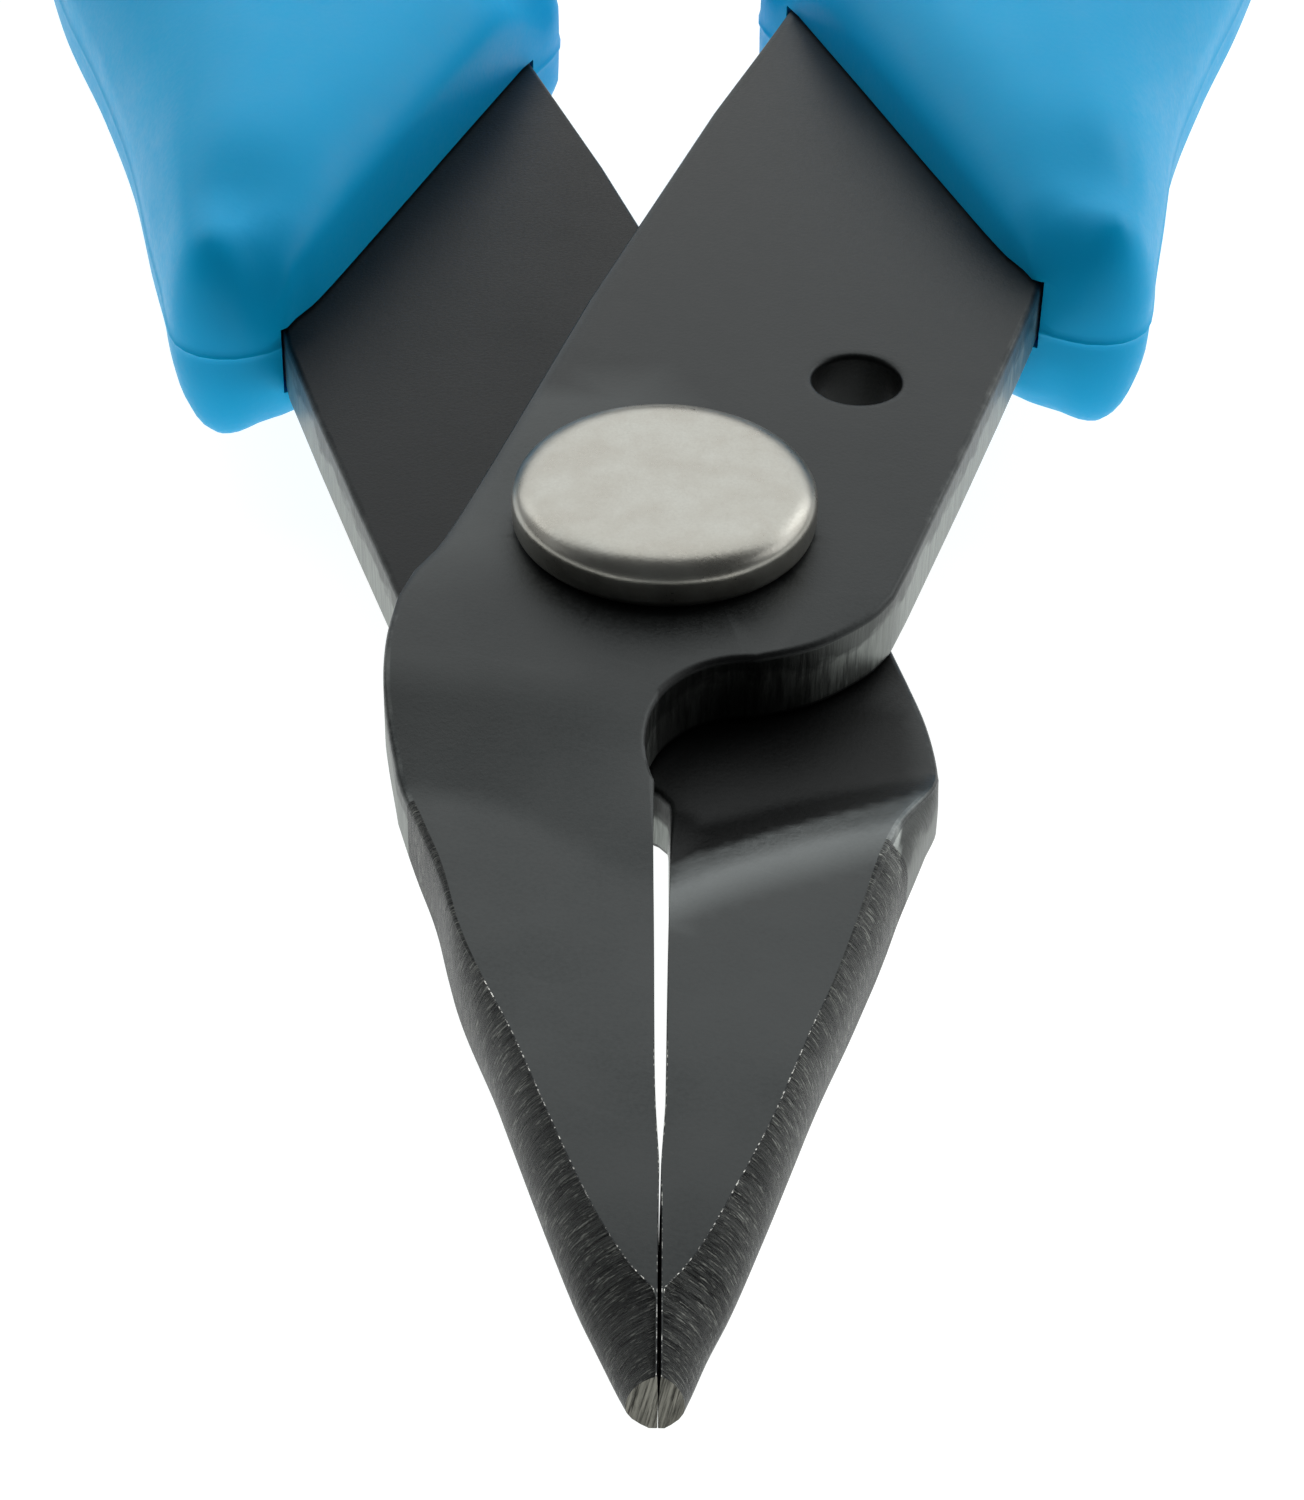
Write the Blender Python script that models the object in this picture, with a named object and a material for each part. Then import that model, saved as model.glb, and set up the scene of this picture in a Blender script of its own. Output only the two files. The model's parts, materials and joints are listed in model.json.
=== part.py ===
"""Flush cut pliers: two crossed steel arms on a big rivet, a wire return spring and two soft grips.

Frame: the pivot axis is the Z axis and z = 0 is the flat face of the lower rivet head. The jaws
point to -Y and the handles to +Y. The upper arm carries the left jaw and the right handle, the
lower arm carries the right jaw and the left handle. The model is at rest with the jaws shut. Each
mesh is drawn about the point where the pivot axis meets the plane in which the two arms rub.
"""

import math

import bmesh
import bpy
import numpy as np
from mathutils.geometry import delaunay_2d_cdt

MM = 0.001

# Driving dimensions, in millimetres.
PLATE_T = 2.0  # thickness of each stamped arm
RUN_GAP = 0.03  # each arm stands this far off the rubbing plane
JAW_HALF = 1.0  # the jaws are set over to sit astride the rubbing plane
EDGE = 0.18  # tumbled edge of the stampings
HOLE_EDGE = 0.12  # broken edge of the punched holes
TIP_Y = -27.1  # blunt end of the jaws
GROUND_Y = -12.0  # the jaws are ground in front of this line
NOTCH_C, NOTCH_RX, NOTCH_RY = (2.1, -8.5), 2.5, 2.9  # the upper arm's relief beside its jaw root
BEVEL_CLEAR = 0.11  # the bevel stops this far from the seam
END_BEVEL = 0.36  # width of the bevel across the blunt end
SMALLEST_RISE = 0.03  # least height between two rings of an arm's side
BORE_R = 2.5  # rivet bore in both arms
SHANK_R = 2.46  # rivet shank
HOLE_C, HOLE_R = (5.15, 6.8), 1.2  # accessory hole, upper arm only
HEAD_R, HEAD_T, HEAD_ROUND = 3.75, 1.2, 0.35  # rivet heads
HEAD_GAP = 0.05  # between a rivet head and the arm under it
RUB_Z = PLATE_T + HEAD_GAP + HEAD_T  # height of the rubbing plane over the lower head's face
GRIP_END_Y = 99.7  # back end of the grips
GRIP_HALF = 4.7  # half thickness of the grips at the crown
GRIP_Z = 0.5  # each grip is centred this far towards its own arm
PARTING = 0.33  # height of the flat band round a grip, as a share of its edge
FIT = 0.08  # room round a tang in its grip
POCKET_Y = 7.0  # the pocket's cutter starts here, in front of the mouth
WIRE_R = 0.6  # return spring wire
SOCKET_R, SOCKET_X = 0.72, (11.0, 15.5)  # blind sockets for the spring ends
SPRING_Y, SOCKET_Y = 36.0, 62.0  # front of the hairpin, and its two hooked ends

# Outlines in plan, drawn for an arm whose handle goes to +X; the lower arm is turned over.
JAW_OUTER = [(-6.7, -5.0), (-6.62, -7.0), (-6.25, -9.5), (-5.7, -11.2), (-5.25, -12.6), (-4.85, -14.0),
             (-4.5, -15.3), (-3.7, -17.8), (-2.95, -20.2), (-2.2, -22.4), (-1.46, -24.6), (-1.08, -25.65),
             (-0.76, -26.6), (-0.62, TIP_Y)]
JAW_INNER = [(-0.05, TIP_Y), (-0.05, -23.0), (-0.09, -20.0), (-0.16, -16.0), (-0.2, -13.0), (-0.22, -11.0)]
# The lower arm's relief beside its jaw root is shallower than the upper arm's round one.
RELIEF = [(-0.2, -9.1), (-0.16, -8.65), (0.06, -8.3), (0.6, -7.9), (1.2, -7.2), (1.8, -6.2)]
SHOULDER = [(-5.3, 0.0), (-5.72, -1.2), (-6.2, -2.1), (-6.55, -3.3)]
FRONT_RIGHT = [(2.5, -5.5), (3.1, -5.3), (3.8, -4.95), (4.5, -4.4), (5.2, -3.7), (5.68, -2.95)]
TANG_OUTER = [(6.2, -1.5), (7.9, 3.6), (9.2, 7.6), (10.35, 11.2), (11.7, 16.0), (13.5, 22.0), (15.3, 29.0),
              (16.8, 35.0), (18.7, 43.0), (20.6, 52.0), (21.8, 62.0), (22.2, 72.0), (21.9, 80.0),
              (21.2, 85.0), (20.2, 86.5)]
TANG_INNER = [(18.2, 86.6), (17.3, 85.4), (17.3, 76.0), (16.9, 66.0), (15.2, 56.0), (12.2, 46.0), (8.6, 38.0),
              (6.2, 33.0), (4.9, 30.0), (1.9, 21.8), (-1.7, 10.9)]
# The joggle starts and ends at these lines: RAMP on the outer face, RISE on the rubbing face.
RAMP_TOP = [(-6.8, -5.7), (-0.2, -6.5)]
RAMP_FOOT = [(-6.8, -9.3), (-5.5, -9.8), (-4.0, -10.1), (-2.5, -11.1), (-1.0, -12.3), (-0.2, -12.8)]
RISE_TOP = [(-6.8, -7.2), (-3.5, -8.4), (-0.2, -9.7)]
RISE_FOOT = [(-6.8, -11.0), (-5.0, -11.4), (-2.5, -12.4), (-1.0, -13.2), (-0.2, -14.0)]
# Width of the rolled bevel along the jaw, by y.
BEVEL = [(-27.1, 0.48), (-26.5, 0.62), (-25.6, 0.9), (-25.1, 1.08), (-24.7, 0.93), (-23.6, 0.8), (-22.4, 0.7),
         (-21.2, 0.62), (-20.0, 0.57), (-19.0, 0.43), (-17.5, 0.25), (-16.0, 0.1), (GROUND_Y, 0.0)]

# The right grip; the left one is the same moulding turned over.
GRIP_OUTER = [(11.2, 11.2), (12.1, 11.0), (13.0, 11.4), (13.5, 12.2), (13.85, 13.6), (14.7, 17.3),
              (15.85, 22.1), (17.5, 27.3), (19.5, 32.9), (21.8, 41.0), (23.9, 50.0), (25.2, 60.0),
              (25.7, 70.0), (25.4, 79.0), (24.5, 88.0), (23.2, 94.5), (21.6, 98.3), (19.4, GRIP_END_Y),
              (17.0, 98.9), (15.0, 96.2)]
GRIP_INNER = [(13.9, 91.0), (13.9, 82.0), (13.8, 73.0), (13.0, 63.0), (11.4, 54.0), (8.4, 45.5), (5.6, 38.5),
              (3.9, 33.0), (3.5, 30.4), (3.9, 29.2)]
MOUTH = [(4.6, 27.8), (6.4, 23.0), (8.4, 17.6), (10.1, 13.2), (10.5, 12.5), (10.7, 12.0)]
# Half thickness of a grip and width of its rounded edge, by y.
CROWN = [(11, 3.6), (14, 4.1), (20, 4.6), (30, GRIP_HALF), (60, 5.3), (85, 5.2), (99, 4.6)]
ROLL = [(11, 1.5), (13, 1.7), (18, 3.2), (28, 5.0), (40, 5.6), (90, 5.4), (99, 4.4)]

# Half of the spring's centre line, from the front of the hairpin to the end in the right grip's socket.
SPRING = [(0.0, SPRING_Y), (1.4, SPRING_Y + 0.6), (2.3, SPRING_Y + 2.0), (4.1, 41.5), (7.1, 49.0),
          (9.5, 56.2), (10.7, 60.6), (11.5, 61.7), (12.7, SOCKET_Y), (15.2, SOCKET_Y)]


def clear_scene():
    for obj in list(bpy.data.objects):
        bpy.data.objects.remove(obj, do_unlink=True)


def material(name, colour, metallic, roughness):
    made = bpy.data.materials.new(name)
    made.use_nodes = True
    shader = made.node_tree.nodes["Principled BSDF"]
    shader.inputs["Base Color"].default_value = (*colour, 1)
    shader.inputs["Metallic"].default_value = metallic
    shader.inputs["Roughness"].default_value = roughness
    made.diffuse_color = (*colour, 1)
    return made


def spline(points, step, sharp=()):
    """The points joined by a curve, resampled about every `step`; corners in `sharp` stay sharp."""
    points = [np.array(p, float) for p in points]
    out = []
    for i in range(len(points) - 1):
        a, b = points[i], points[i + 1]
        before = points[i - 1] if i and i not in sharp else 2 * a - b
        after = points[i + 2] if i + 2 < len(points) and i + 1 not in sharp else 2 * b - a
        gap = [max(np.linalg.norm(q - p), 1e-6) ** 0.5 for p, q in ((before, a), (a, b), (b, after))]
        t0, t1, t2, t3 = np.cumsum([0.0, *gap])
        count = max(1, int(round(np.linalg.norm(b - a) / step)))
        for t in t1 + (t2 - t1) * np.arange(count) / count:
            a1 = (t1 - t) / (t1 - t0) * before + (t - t0) / (t1 - t0) * a
            a2 = (t2 - t) / (t2 - t1) * a + (t - t1) / (t2 - t1) * b
            a3 = (t3 - t) / (t3 - t2) * b + (t - t2) / (t3 - t2) * after
            b1 = (t2 - t) / (t2 - t0) * a1 + (t - t0) / (t2 - t0) * a2
            b2 = (t3 - t) / (t3 - t1) * a2 + (t - t1) / (t3 - t1) * a3
            out.append((t2 - t) / (t2 - t1) * b1 + (t - t1) / (t2 - t1) * b2)
    return out + [points[-1]]


def circle(centre, radius, count, clockwise=False):
    angle = np.linspace(0, 2 * math.pi, count, endpoint=False) * (-1 if clockwise else 1)
    return np.column_stack([centre[0] + radius * np.cos(angle), centre[1] + radius * np.sin(angle)])


def inward(loop):
    """Unit vectors at the corners of a loop, pointing to its left, where the solid is."""
    ahead, behind = np.roll(loop, -1, axis=0) - loop, loop - np.roll(loop, 1, axis=0)
    ahead /= np.linalg.norm(ahead, axis=1)[:, None]
    behind /= np.linalg.norm(behind, axis=1)[:, None]
    along = ahead + behind
    along /= np.linalg.norm(along, axis=1)[:, None]
    return np.column_stack([-along[:, 1], along[:, 0]])


def distance(points, line):
    """Distance of each point from an open polyline."""
    best = np.full(len(points), 1e9)
    for a, b in zip(line[:-1], line[1:]):
        ab = b - a
        t = np.clip(((points - a) @ ab) / (ab @ ab), 0, 1)
        best = np.minimum(best, np.linalg.norm(points - a - t[:, None] * ab, axis=1))
    return best


def edge_distance(points, loop):
    return distance(points, np.vstack([loop, loop[:1]]))


def inside(points, loop):
    x, y = points[:, 0], points[:, 1]
    odd = np.zeros(len(points), bool)
    for (ax, ay), (bx, by) in zip(loop, np.roll(loop, -1, axis=0)):
        if ay != by:
            odd ^= ((ay > y) != (by > y)) & (x < (bx - ax) * (y - ay) / (by - ay) + ax)
    return odd


def inner_points(loops, pitch, margin):
    low, high = loops[0].min(axis=0), loops[0].max(axis=0)
    xs, ys = np.arange(low[0], high[0], pitch), np.arange(low[1], high[1], pitch)
    points = np.array([(x + (row % 2) * pitch / 2, y) for row, y in enumerate(ys) for x in xs])
    keep = inside(points, loops[0])
    for loop in loops[1:]:
        keep &= ~inside(points, loop)
    for loop in loops:
        keep &= edge_distance(points, loop) > margin
    return points[keep]


def cap(loops, points):
    """Triangles over the area inside loops[0] and outside the others, through the points."""
    verts = np.vstack([*loops, points]) if len(points) else np.vstack(loops)
    edges, first = [], 0
    for loop in loops:
        n = len(loop)
        edges += [(first + i, first + (i + 1) % n) for i in range(n)]
        first += n
    found = delaunay_2d_cdt([tuple(v) for v in verts], edges, [], 2, 1e-6)
    source = [ids[0] for ids in found[3]]
    centres = np.array([np.mean([verts[source[i]] for i in face], axis=0) for face in found[2]])
    hole = np.zeros(len(centres), bool)
    for loop in loops[1:]:
        hole |= inside(centres, loop)
    faces = []
    for face, empty in zip(found[2], hole):
        if empty:
            continue
        a, b, c = (source[i] for i in face)
        u, v = verts[b] - verts[a], verts[c] - verts[a]
        faces.append((a, b, c) if u[0] * v[1] - u[1] * v[0] > 0 else (a, c, b))
    return faces


def slab(loops, rings, points, low, high):
    """Vertices and faces of a plate.

    A ring holds one (n, 3) array for each loop, and the rings go from the lower face up.
    """
    sizes = [len(loop) for loop in loops]
    total = sum(sizes)
    verts = [np.vstack(ring) for ring in rings]
    faces = []
    for k in range(len(rings) - 1):
        first = 0
        for n in sizes:
            for i in range(n):
                a, b = first + i, first + (i + 1) % n
                faces.append((k * total + a, k * total + b, (k + 1) * total + b, (k + 1) * total + a))
            first += n
    base = len(rings) * total
    for ring, surface, flip in ((0, low, True), (len(rings) - 1, high, False)):
        border = np.vstack(rings[ring])[:, :2]
        split = np.split(border, np.cumsum(sizes)[:-1])
        index = np.concatenate([np.arange(total) + ring * total, np.arange(len(points)) + base])
        for a, b, c in cap(split, points):
            a, b, c = index[a], index[b], index[c]
            faces.append((c, b, a) if flip else (a, b, c))
        if len(points):
            verts.append(np.column_stack([points, surface(points)]))
            base += len(points)
    return np.vstack(verts), faces


def add(name, verts, faces, mat=None):
    mesh = bpy.data.meshes.new(name)
    mesh.from_pydata([tuple(v * MM) for v in verts], [], [tuple(int(i) for i in f) for f in faces])
    mesh.validate()
    obj = bpy.data.objects.new(name, mesh)
    bpy.context.scene.collection.objects.link(obj)
    if mat:
        mesh.materials.append(mat)
    return obj


def cut(obj, cutter):
    modifier = obj.modifiers.new("cut", "BOOLEAN")
    modifier.operation, modifier.solver, modifier.object = "DIFFERENCE", "EXACT", cutter
    cutter.hide_render = True


# ---- arms

def between(start, end, points):
    """0 before the start line, 1 past the end line, for lines given as y over x."""
    start, end = np.array(start), np.array(end)
    y0 = np.interp(points[:, 0], start[:, 0], start[:, 1])
    y1 = np.interp(points[:, 0], end[:, 0], end[:, 1])
    return np.clip((y0 - points[:, 1]) / (y0 - y1), 0, 1)


def outer_face(points):
    """Height of the upper arm's outer face: flat, then down the joggle to the jaw."""
    t = between(RAMP_TOP, RAMP_FOOT, points)
    fall = np.where(t < 0.3, t * t / 0.51, (t - 0.15) / 0.85)
    nose = np.clip((-25.0 - points[:, 1]) / 2.1, 0, 1) * 0.12
    return PLATE_T - (PLATE_T - JAW_HALF) * fall - nose


def rubbing_face(points):
    """Height of the upper arm's rubbing face, which drops with the joggle."""
    t = between(RISE_TOP, RISE_FOOT, points)
    fall = np.where(t < 0.6, 1.25 * t, 1 - 0.25 * ((1 - t) / 0.4) ** 2)
    return RUN_GAP - (RUN_GAP + JAW_HALF) * fall


def upper_notch():
    angles = np.radians(np.linspace(204, 87, 10))
    return [(NOTCH_C[0] + NOTCH_RX * math.cos(a), NOTCH_C[1] + NOTCH_RY * math.sin(a)) for a in angles]


def arm_loop(step, lower):
    """The outline of an arm, starting at the tip of its seam and going round with the solid on the left."""
    notch = spline(RELIEF, step) if lower else upper_notch()
    right = spline(FRONT_RIGHT, step)
    outer = spline(TANG_OUTER, 4 * step, sharp=(1, 2, 3))
    inner = spline(TANG_INNER + SHOULDER, 4 * step, sharp=(7, 8, 9, 10))
    jaw = spline([SHOULDER[-1]] + JAW_OUTER, step, sharp=(3, 10))[1:]
    seam = spline(JAW_INNER, 2 * step)
    return np.array(seam + notch + right + outer + inner + jaw)


def jaw_zones(loop):
    """Which corners of an arm's outline are on the blunt end, on the outside of the jaw, and on the seam."""
    x, y = loop.T
    end = np.abs(y - TIP_Y) < 0.05
    outside = (y < GROUND_Y) & ~end & (x < -0.45)
    seam = (np.abs(x) < 0.35) & (y < -9)
    return end, outside, seam


def bevel_width(loop):
    """How far the rolled bevel cuts in at each corner of the outline: only along the outside of the jaw."""
    end, outside, _ = jaw_zones(loop)
    width = np.interp(loop[:, 1], *np.transpose(BEVEL))
    return np.where(outside, width, 0) + np.where(end & (loop[:, 0] < -0.3), END_BEVEL, 0)


def inset_directions(loop):
    """The way each corner moves when the outline is inset: level along the jaws, so their length stays."""
    end, _, _ = jaw_zones(loop)
    normal = inward(loop)
    normal[end] = (-1.0, 0.0)
    normal[end & (loop[:, 0] < -0.3)] = (1.0, 0.0)
    normal[loop[:, 1] < GROUND_Y - 0.5, 1] = 0.0
    return normal / np.linalg.norm(normal, axis=1)[:, None]


def bevel_roll(up):
    """Share of the bevel's width that is ground off at a height from -1, the underside, to 1, the top."""
    return ((up + 0.1) / 1.1) ** 2.6 if up > -0.1 else 0.35 * ((-up - 0.1) / 0.9) ** 2


def side_ring(here, normal, bevel, tumble, level, top_side, on_face):
    """One ring of an outline at a level from -1, the rubbing face, to 1, the outer face."""
    at = here + normal * (bevel * bevel_roll(level * top_side) + (tumble if on_face else 0))[:, None]
    ground = bevel > 0
    at[ground, 0] = np.minimum(at[ground, 0], -BEVEL_CLEAR)
    low, high = rubbing_face(at), outer_face(at)
    if on_face:
        z = low if level < 0 else high
    elif abs(level) == 1:
        tumble = np.maximum(tumble, SMALLEST_RISE)
        z = low + tumble if level < 0 else high - tumble
    else:
        z = (low + high) / 2 + level * (high - low) / 2
    return np.column_stack([at, z])


def arm_rings(loops, lower):
    """The side of an arm from its rubbing face up. The bevel is on the side that faces up on the bench."""
    loop = loops[0]
    end, _, seam = jaw_zones(loop)
    outlines = [(loop, inset_directions(loop), bevel_width(loop), np.where(seam | end, 0.0, EDGE))]
    for hole in loops[1:]:
        outlines.append((hole, inward(hole), np.zeros(len(hole)), np.full(len(hole), HOLE_EDGE)))
    levels = [(-1, True), (-1, False), (-0.45, False), (0.1, False), (0.55, False), (0.82, False), (1, False),
              (1, True)]
    top_side = -1 if lower else 1
    return [[side_ring(*outline, level, top_side, on_face) for outline in outlines]
            for level, on_face in levels]


def face_points(loops):
    """Points inside an arm's faces: along the bends of the joggle, and spread over the rest."""
    groups = [inner_points(loops, 3.4, 1.2)]
    xs = np.arange(-6.2, -0.6, 0.8)
    for line, shifts in ((RAMP_TOP, (0, 0.9)), (RAMP_FOOT, (0,)), (RISE_TOP, (0,)), (RISE_FOOT, (0, 1.6))):
        bend = np.interp(xs, *np.transpose(line))
        groups += [np.column_stack([xs, bend + shift]) for shift in shifts]
    points = np.vstack(groups)
    points = points[inside(points, loops[0]) & (edge_distance(points, loops[0]) > 0.75)]
    _, first = np.unique(np.round(points / 0.35), axis=0, return_index=True)
    return points[np.sort(first)]


def arm(name, mat, lower):
    loops = [arm_loop(0.9, lower), circle((0, 0), BORE_R, 40, clockwise=True)]
    if not lower:
        loops.append(circle(HOLE_C, HOLE_R, 24, clockwise=True))
    verts, faces = slab(loops, arm_rings(loops, lower), face_points(loops), rubbing_face, outer_face)
    if lower:
        verts = verts * np.array([-1.0, 1.0, -1.0])
    return add(name, verts, faces, mat)


# ---- rivet

def turned(name, profile, mat, count=64):
    """A solid of revolution about Z. The profile runs from the axis at the bottom to the axis at the top."""
    shape = bmesh.new()
    corners = [shape.verts.new((r * MM, 0, z * MM)) for r, z in profile]
    edges = [shape.edges.new(pair) for pair in zip(corners, corners[1:])]
    bmesh.ops.spin(shape, geom=corners + edges, cent=(0, 0, 0), axis=(0, 0, 1), angle=2 * math.pi,
                   steps=count)
    bmesh.ops.remove_doubles(shape, verts=shape.verts, dist=0.001 * MM)
    bmesh.ops.recalc_face_normals(shape, faces=shape.faces)
    obj = add(name, np.empty((0, 3)), [], mat)
    shape.to_mesh(obj.data)
    shape.free()
    return obj


def rivet_profile():
    under = PLATE_T + HEAD_GAP
    top = under + HEAD_T
    rim = [(HEAD_R - HEAD_ROUND * (1 - math.cos(a)), top - HEAD_ROUND * (1 - math.sin(a)))
           for a in np.radians([0, 25, 50, 70, 90])]
    half = [(SHANK_R, under), (HEAD_R - 0.2, under), (HEAD_R, under + 0.2)] + rim
    lower = [(r, -z) for r, z in reversed(half)]
    return [(0, -top)] + lower + half + [(0, top)]


# ---- grips

def grip_loop(step):
    outer = spline(GRIP_OUTER + GRIP_INNER, step)
    mouth = spline(MOUTH, step)
    return np.array(outer), np.array(mouth)


def grip_half(points, outer, mouth):
    """Half thickness of the grip over its plan: a crowned pad, lower in front, with rounded edges."""
    x, y = points[:, 0], points[:, 1]
    crown = np.interp(y, *np.transpose(CROWN))
    hollow = 0.5 * np.exp(-(((x - 12.3) / 1.6) ** 2 + ((y - 14.5) / 1.6) ** 2))
    reach = np.interp(y, *np.transpose(ROLL))
    side = np.clip((distance(points, outer) + 0.05 * reach) / (1.05 * reach), 0, 1)
    front = np.clip(distance(points, mouth) / 2.8, 0, 1)
    rounded = np.sqrt(1 - (1 - side) ** 2)
    return (crown - hollow) * rounded * (0.58 + 0.42 * np.sqrt(1 - (1 - front) ** 2))


def grip_points(loop):
    """Points inside the grip's plan: rows that follow its edge, closer near it, and a few in the middle."""
    rows = []
    for inset in (0.35, 0.9, 1.7, 2.9, 4.4):
        at = loop + inward(loop) * inset
        rows.append(at[inside(at, loop) & (edge_distance(at, loop) > inset * 0.93)])
    points = np.vstack(rows + [inner_points([loop], 2.8, 5.2)])
    room = 0.25 + 0.16 * np.minimum(edge_distance(points, loop), 5.0)
    kept = []
    for point, near in zip(points, room):
        if not kept or np.linalg.norm(np.array(kept) - point, axis=1).min() > near:
            kept.append(point)
    return np.array(kept)


def tang_cutter(name, left):
    """The tang with a little room round it, for its pocket in the grip. It starts in front of the mouth."""
    loop = arm_loop(0.9, left)
    grown = (loop - inward(loop) * FIT)[loop[:, 1] > POCKET_Y]
    rings = [[np.column_stack([grown, np.full(len(grown), z)])] for z in (RUN_GAP - FIT, PLATE_T + FIT)]
    return add(name, *slab([grown], rings, np.empty((0, 2)), None, None))


def socket_cutter(name, count=16):
    """A round rod along X, for the blind hole that takes the end of the spring."""
    angle = np.linspace(0, 2 * math.pi, count, endpoint=False)
    across, up = SOCKET_Y + SOCKET_R * np.cos(angle), SOCKET_R * np.sin(angle)
    verts = np.vstack([np.column_stack([np.full(count, x), across, up]) for x in SOCKET_X])
    sides = [(i, (i + 1) % count, count + (i + 1) % count, count + i) for i in range(count)]
    return add(name, verts, sides + [tuple(range(count - 1, -1, -1)), tuple(range(count, 2 * count))])


def grip(name, mat, left):
    outer, mouth = grip_loop(2.2)
    loop = np.vstack([outer, mouth])

    def high(at):
        return grip_half(at, outer, mouth)

    edge = np.maximum(high(loop), 0.8)
    rings = [[np.column_stack([loop, GRIP_Z + s * edge])] for s in (-1, -PARTING, PARTING, 1)]
    verts, faces = slab([loop], rings, grip_points(loop),
                        lambda at: GRIP_Z - high(at), lambda at: GRIP_Z + high(at))
    obj = add(name, verts, faces, mat)
    cutters = tang_cutter(name + ".pocket", left), socket_cutter(name + ".socket")
    for cutter in cutters:
        cut(obj, cutter)
    if left:
        for piece in (obj, *cutters):
            piece.rotation_euler = (0, math.pi, 0)
    return obj, cutters


# ---- spring

def spring(name, mat):
    """A round wire hairpin. Its legs lie inside the grips and its hooked ends sit in their sockets."""
    right = spline(SPRING, 1.1)
    path = [np.array([-p[0], p[1]]) for p in reversed(right[1:])] + right
    curve = bpy.data.curves.new(name, "CURVE")
    curve.dimensions = "3D"
    curve.bevel_depth = WIRE_R * MM
    curve.bevel_resolution = 2
    curve.use_fill_caps = True
    line = curve.splines.new("POLY")
    line.points.add(len(path) - 1)
    for point, (x, y) in zip(line.points, path):
        point.co = (x * MM, y * MM, 0, 1)
    curve.materials.append(mat)
    obj = bpy.data.objects.new(name, curve)
    bpy.context.scene.collection.objects.link(obj)
    return obj


def main():
    clear_scene()
    steel = material("dark_steel", (0.075, 0.08, 0.083), 0.9, 0.42)
    silver = material("rivet_steel", (0.55, 0.53, 0.48), 1.0, 0.32)
    wire = material("spring_steel", (0.35, 0.35, 0.34), 1.0, 0.3)
    blue = material("blue_grip", (0.02, 0.22, 0.46), 0.0, 0.45)
    upper = arm("upper_arm", steel, lower=False)
    lower = arm("lower_arm", steel, lower=True)
    rivet = turned("pivot_rivet", rivet_profile(), silver)
    right, right_cutters = grip("right_grip", blue, left=False)
    left, left_cutters = grip("left_grip", blue, left=True)
    hairpin = spring("return_spring", wire)
    for obj in (rivet, right, hairpin, *right_cutters):
        obj.parent = upper
    for obj in (left, *left_cutters):
        obj.parent = lower
    upper.location = lower.location = (0, 0, RUB_Z * MM)


main()
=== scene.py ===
"""Looks of the flush cut pliers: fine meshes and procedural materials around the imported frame.

Lengths are in millimetres until a mesh is made. Each piece is drawn about the point where the pivot
axis meets the plane in which the two arms rub, then lifted to that plane's height in the frame.
"""

import json
import math

import bpy
import numpy as np
from mathutils import Matrix, Vector
from mathutils.geometry import delaunay_2d_cdt

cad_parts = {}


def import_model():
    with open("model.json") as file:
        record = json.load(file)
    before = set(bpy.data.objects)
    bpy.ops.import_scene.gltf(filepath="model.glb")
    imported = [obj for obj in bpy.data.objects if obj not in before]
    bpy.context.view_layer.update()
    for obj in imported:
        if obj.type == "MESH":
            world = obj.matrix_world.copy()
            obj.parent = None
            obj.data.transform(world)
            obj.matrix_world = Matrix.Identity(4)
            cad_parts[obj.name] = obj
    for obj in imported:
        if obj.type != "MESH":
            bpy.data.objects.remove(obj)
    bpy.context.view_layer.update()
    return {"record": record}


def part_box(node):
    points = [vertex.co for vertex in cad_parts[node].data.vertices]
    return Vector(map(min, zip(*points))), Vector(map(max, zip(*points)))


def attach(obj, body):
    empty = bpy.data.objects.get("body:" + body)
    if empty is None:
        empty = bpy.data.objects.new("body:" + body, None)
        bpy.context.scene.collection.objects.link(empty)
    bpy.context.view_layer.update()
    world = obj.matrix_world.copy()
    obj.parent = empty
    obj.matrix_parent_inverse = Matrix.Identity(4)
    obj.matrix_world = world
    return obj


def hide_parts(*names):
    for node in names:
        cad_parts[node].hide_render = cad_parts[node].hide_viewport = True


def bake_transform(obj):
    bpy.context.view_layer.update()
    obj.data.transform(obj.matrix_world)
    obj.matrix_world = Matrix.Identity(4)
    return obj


MM = 0.001

# Sizes. Most are the CAD model's, but the rivet's heads, the tip and the grips' ends differ from it a little.
PLATE_T, RUN_GAP, JAW_HALF = 2.0, 0.03, 1.0  # a plate, each arm's half of the running gap, half a jaw
TIP_Y = -27.08
BORE_R, SHANK_R = 2.5, 2.46
HOLE_C, HOLE_R = (5.15, 6.8), 1.2  # the small hole through the upper arm
NOTCH_C, NOTCH_RX, NOTCH_RY, NOTCH_TURN = (2.1, -8.5), 2.5, 2.9, (204, 87)  # the upper arm's relief
HEAD_R, HEAD_T, HEAD_GAP = 3.85, 1.33, 0.05
HEAD_FOOT, HEAD_RIM, HEAD_FLAT = (0.2, 0.25), (1.0, 0.62), 1.6  # its two rounds; how far in the flat is
GRIP_Z, GRIP_END_Y = 0.5, 99.6  # middle of a grip's thickness above the rubbing plane, and its back end
FIT = 0.08  # between a tang and its pocket
WIRE_R, SPRING_Y, SOCKET_Y, SOCKET_R = 0.6, 36.0, 62.0, 0.72
TURN_OVER = [-1.0, 1.0, -1.0]  # half a turn about Y

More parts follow.
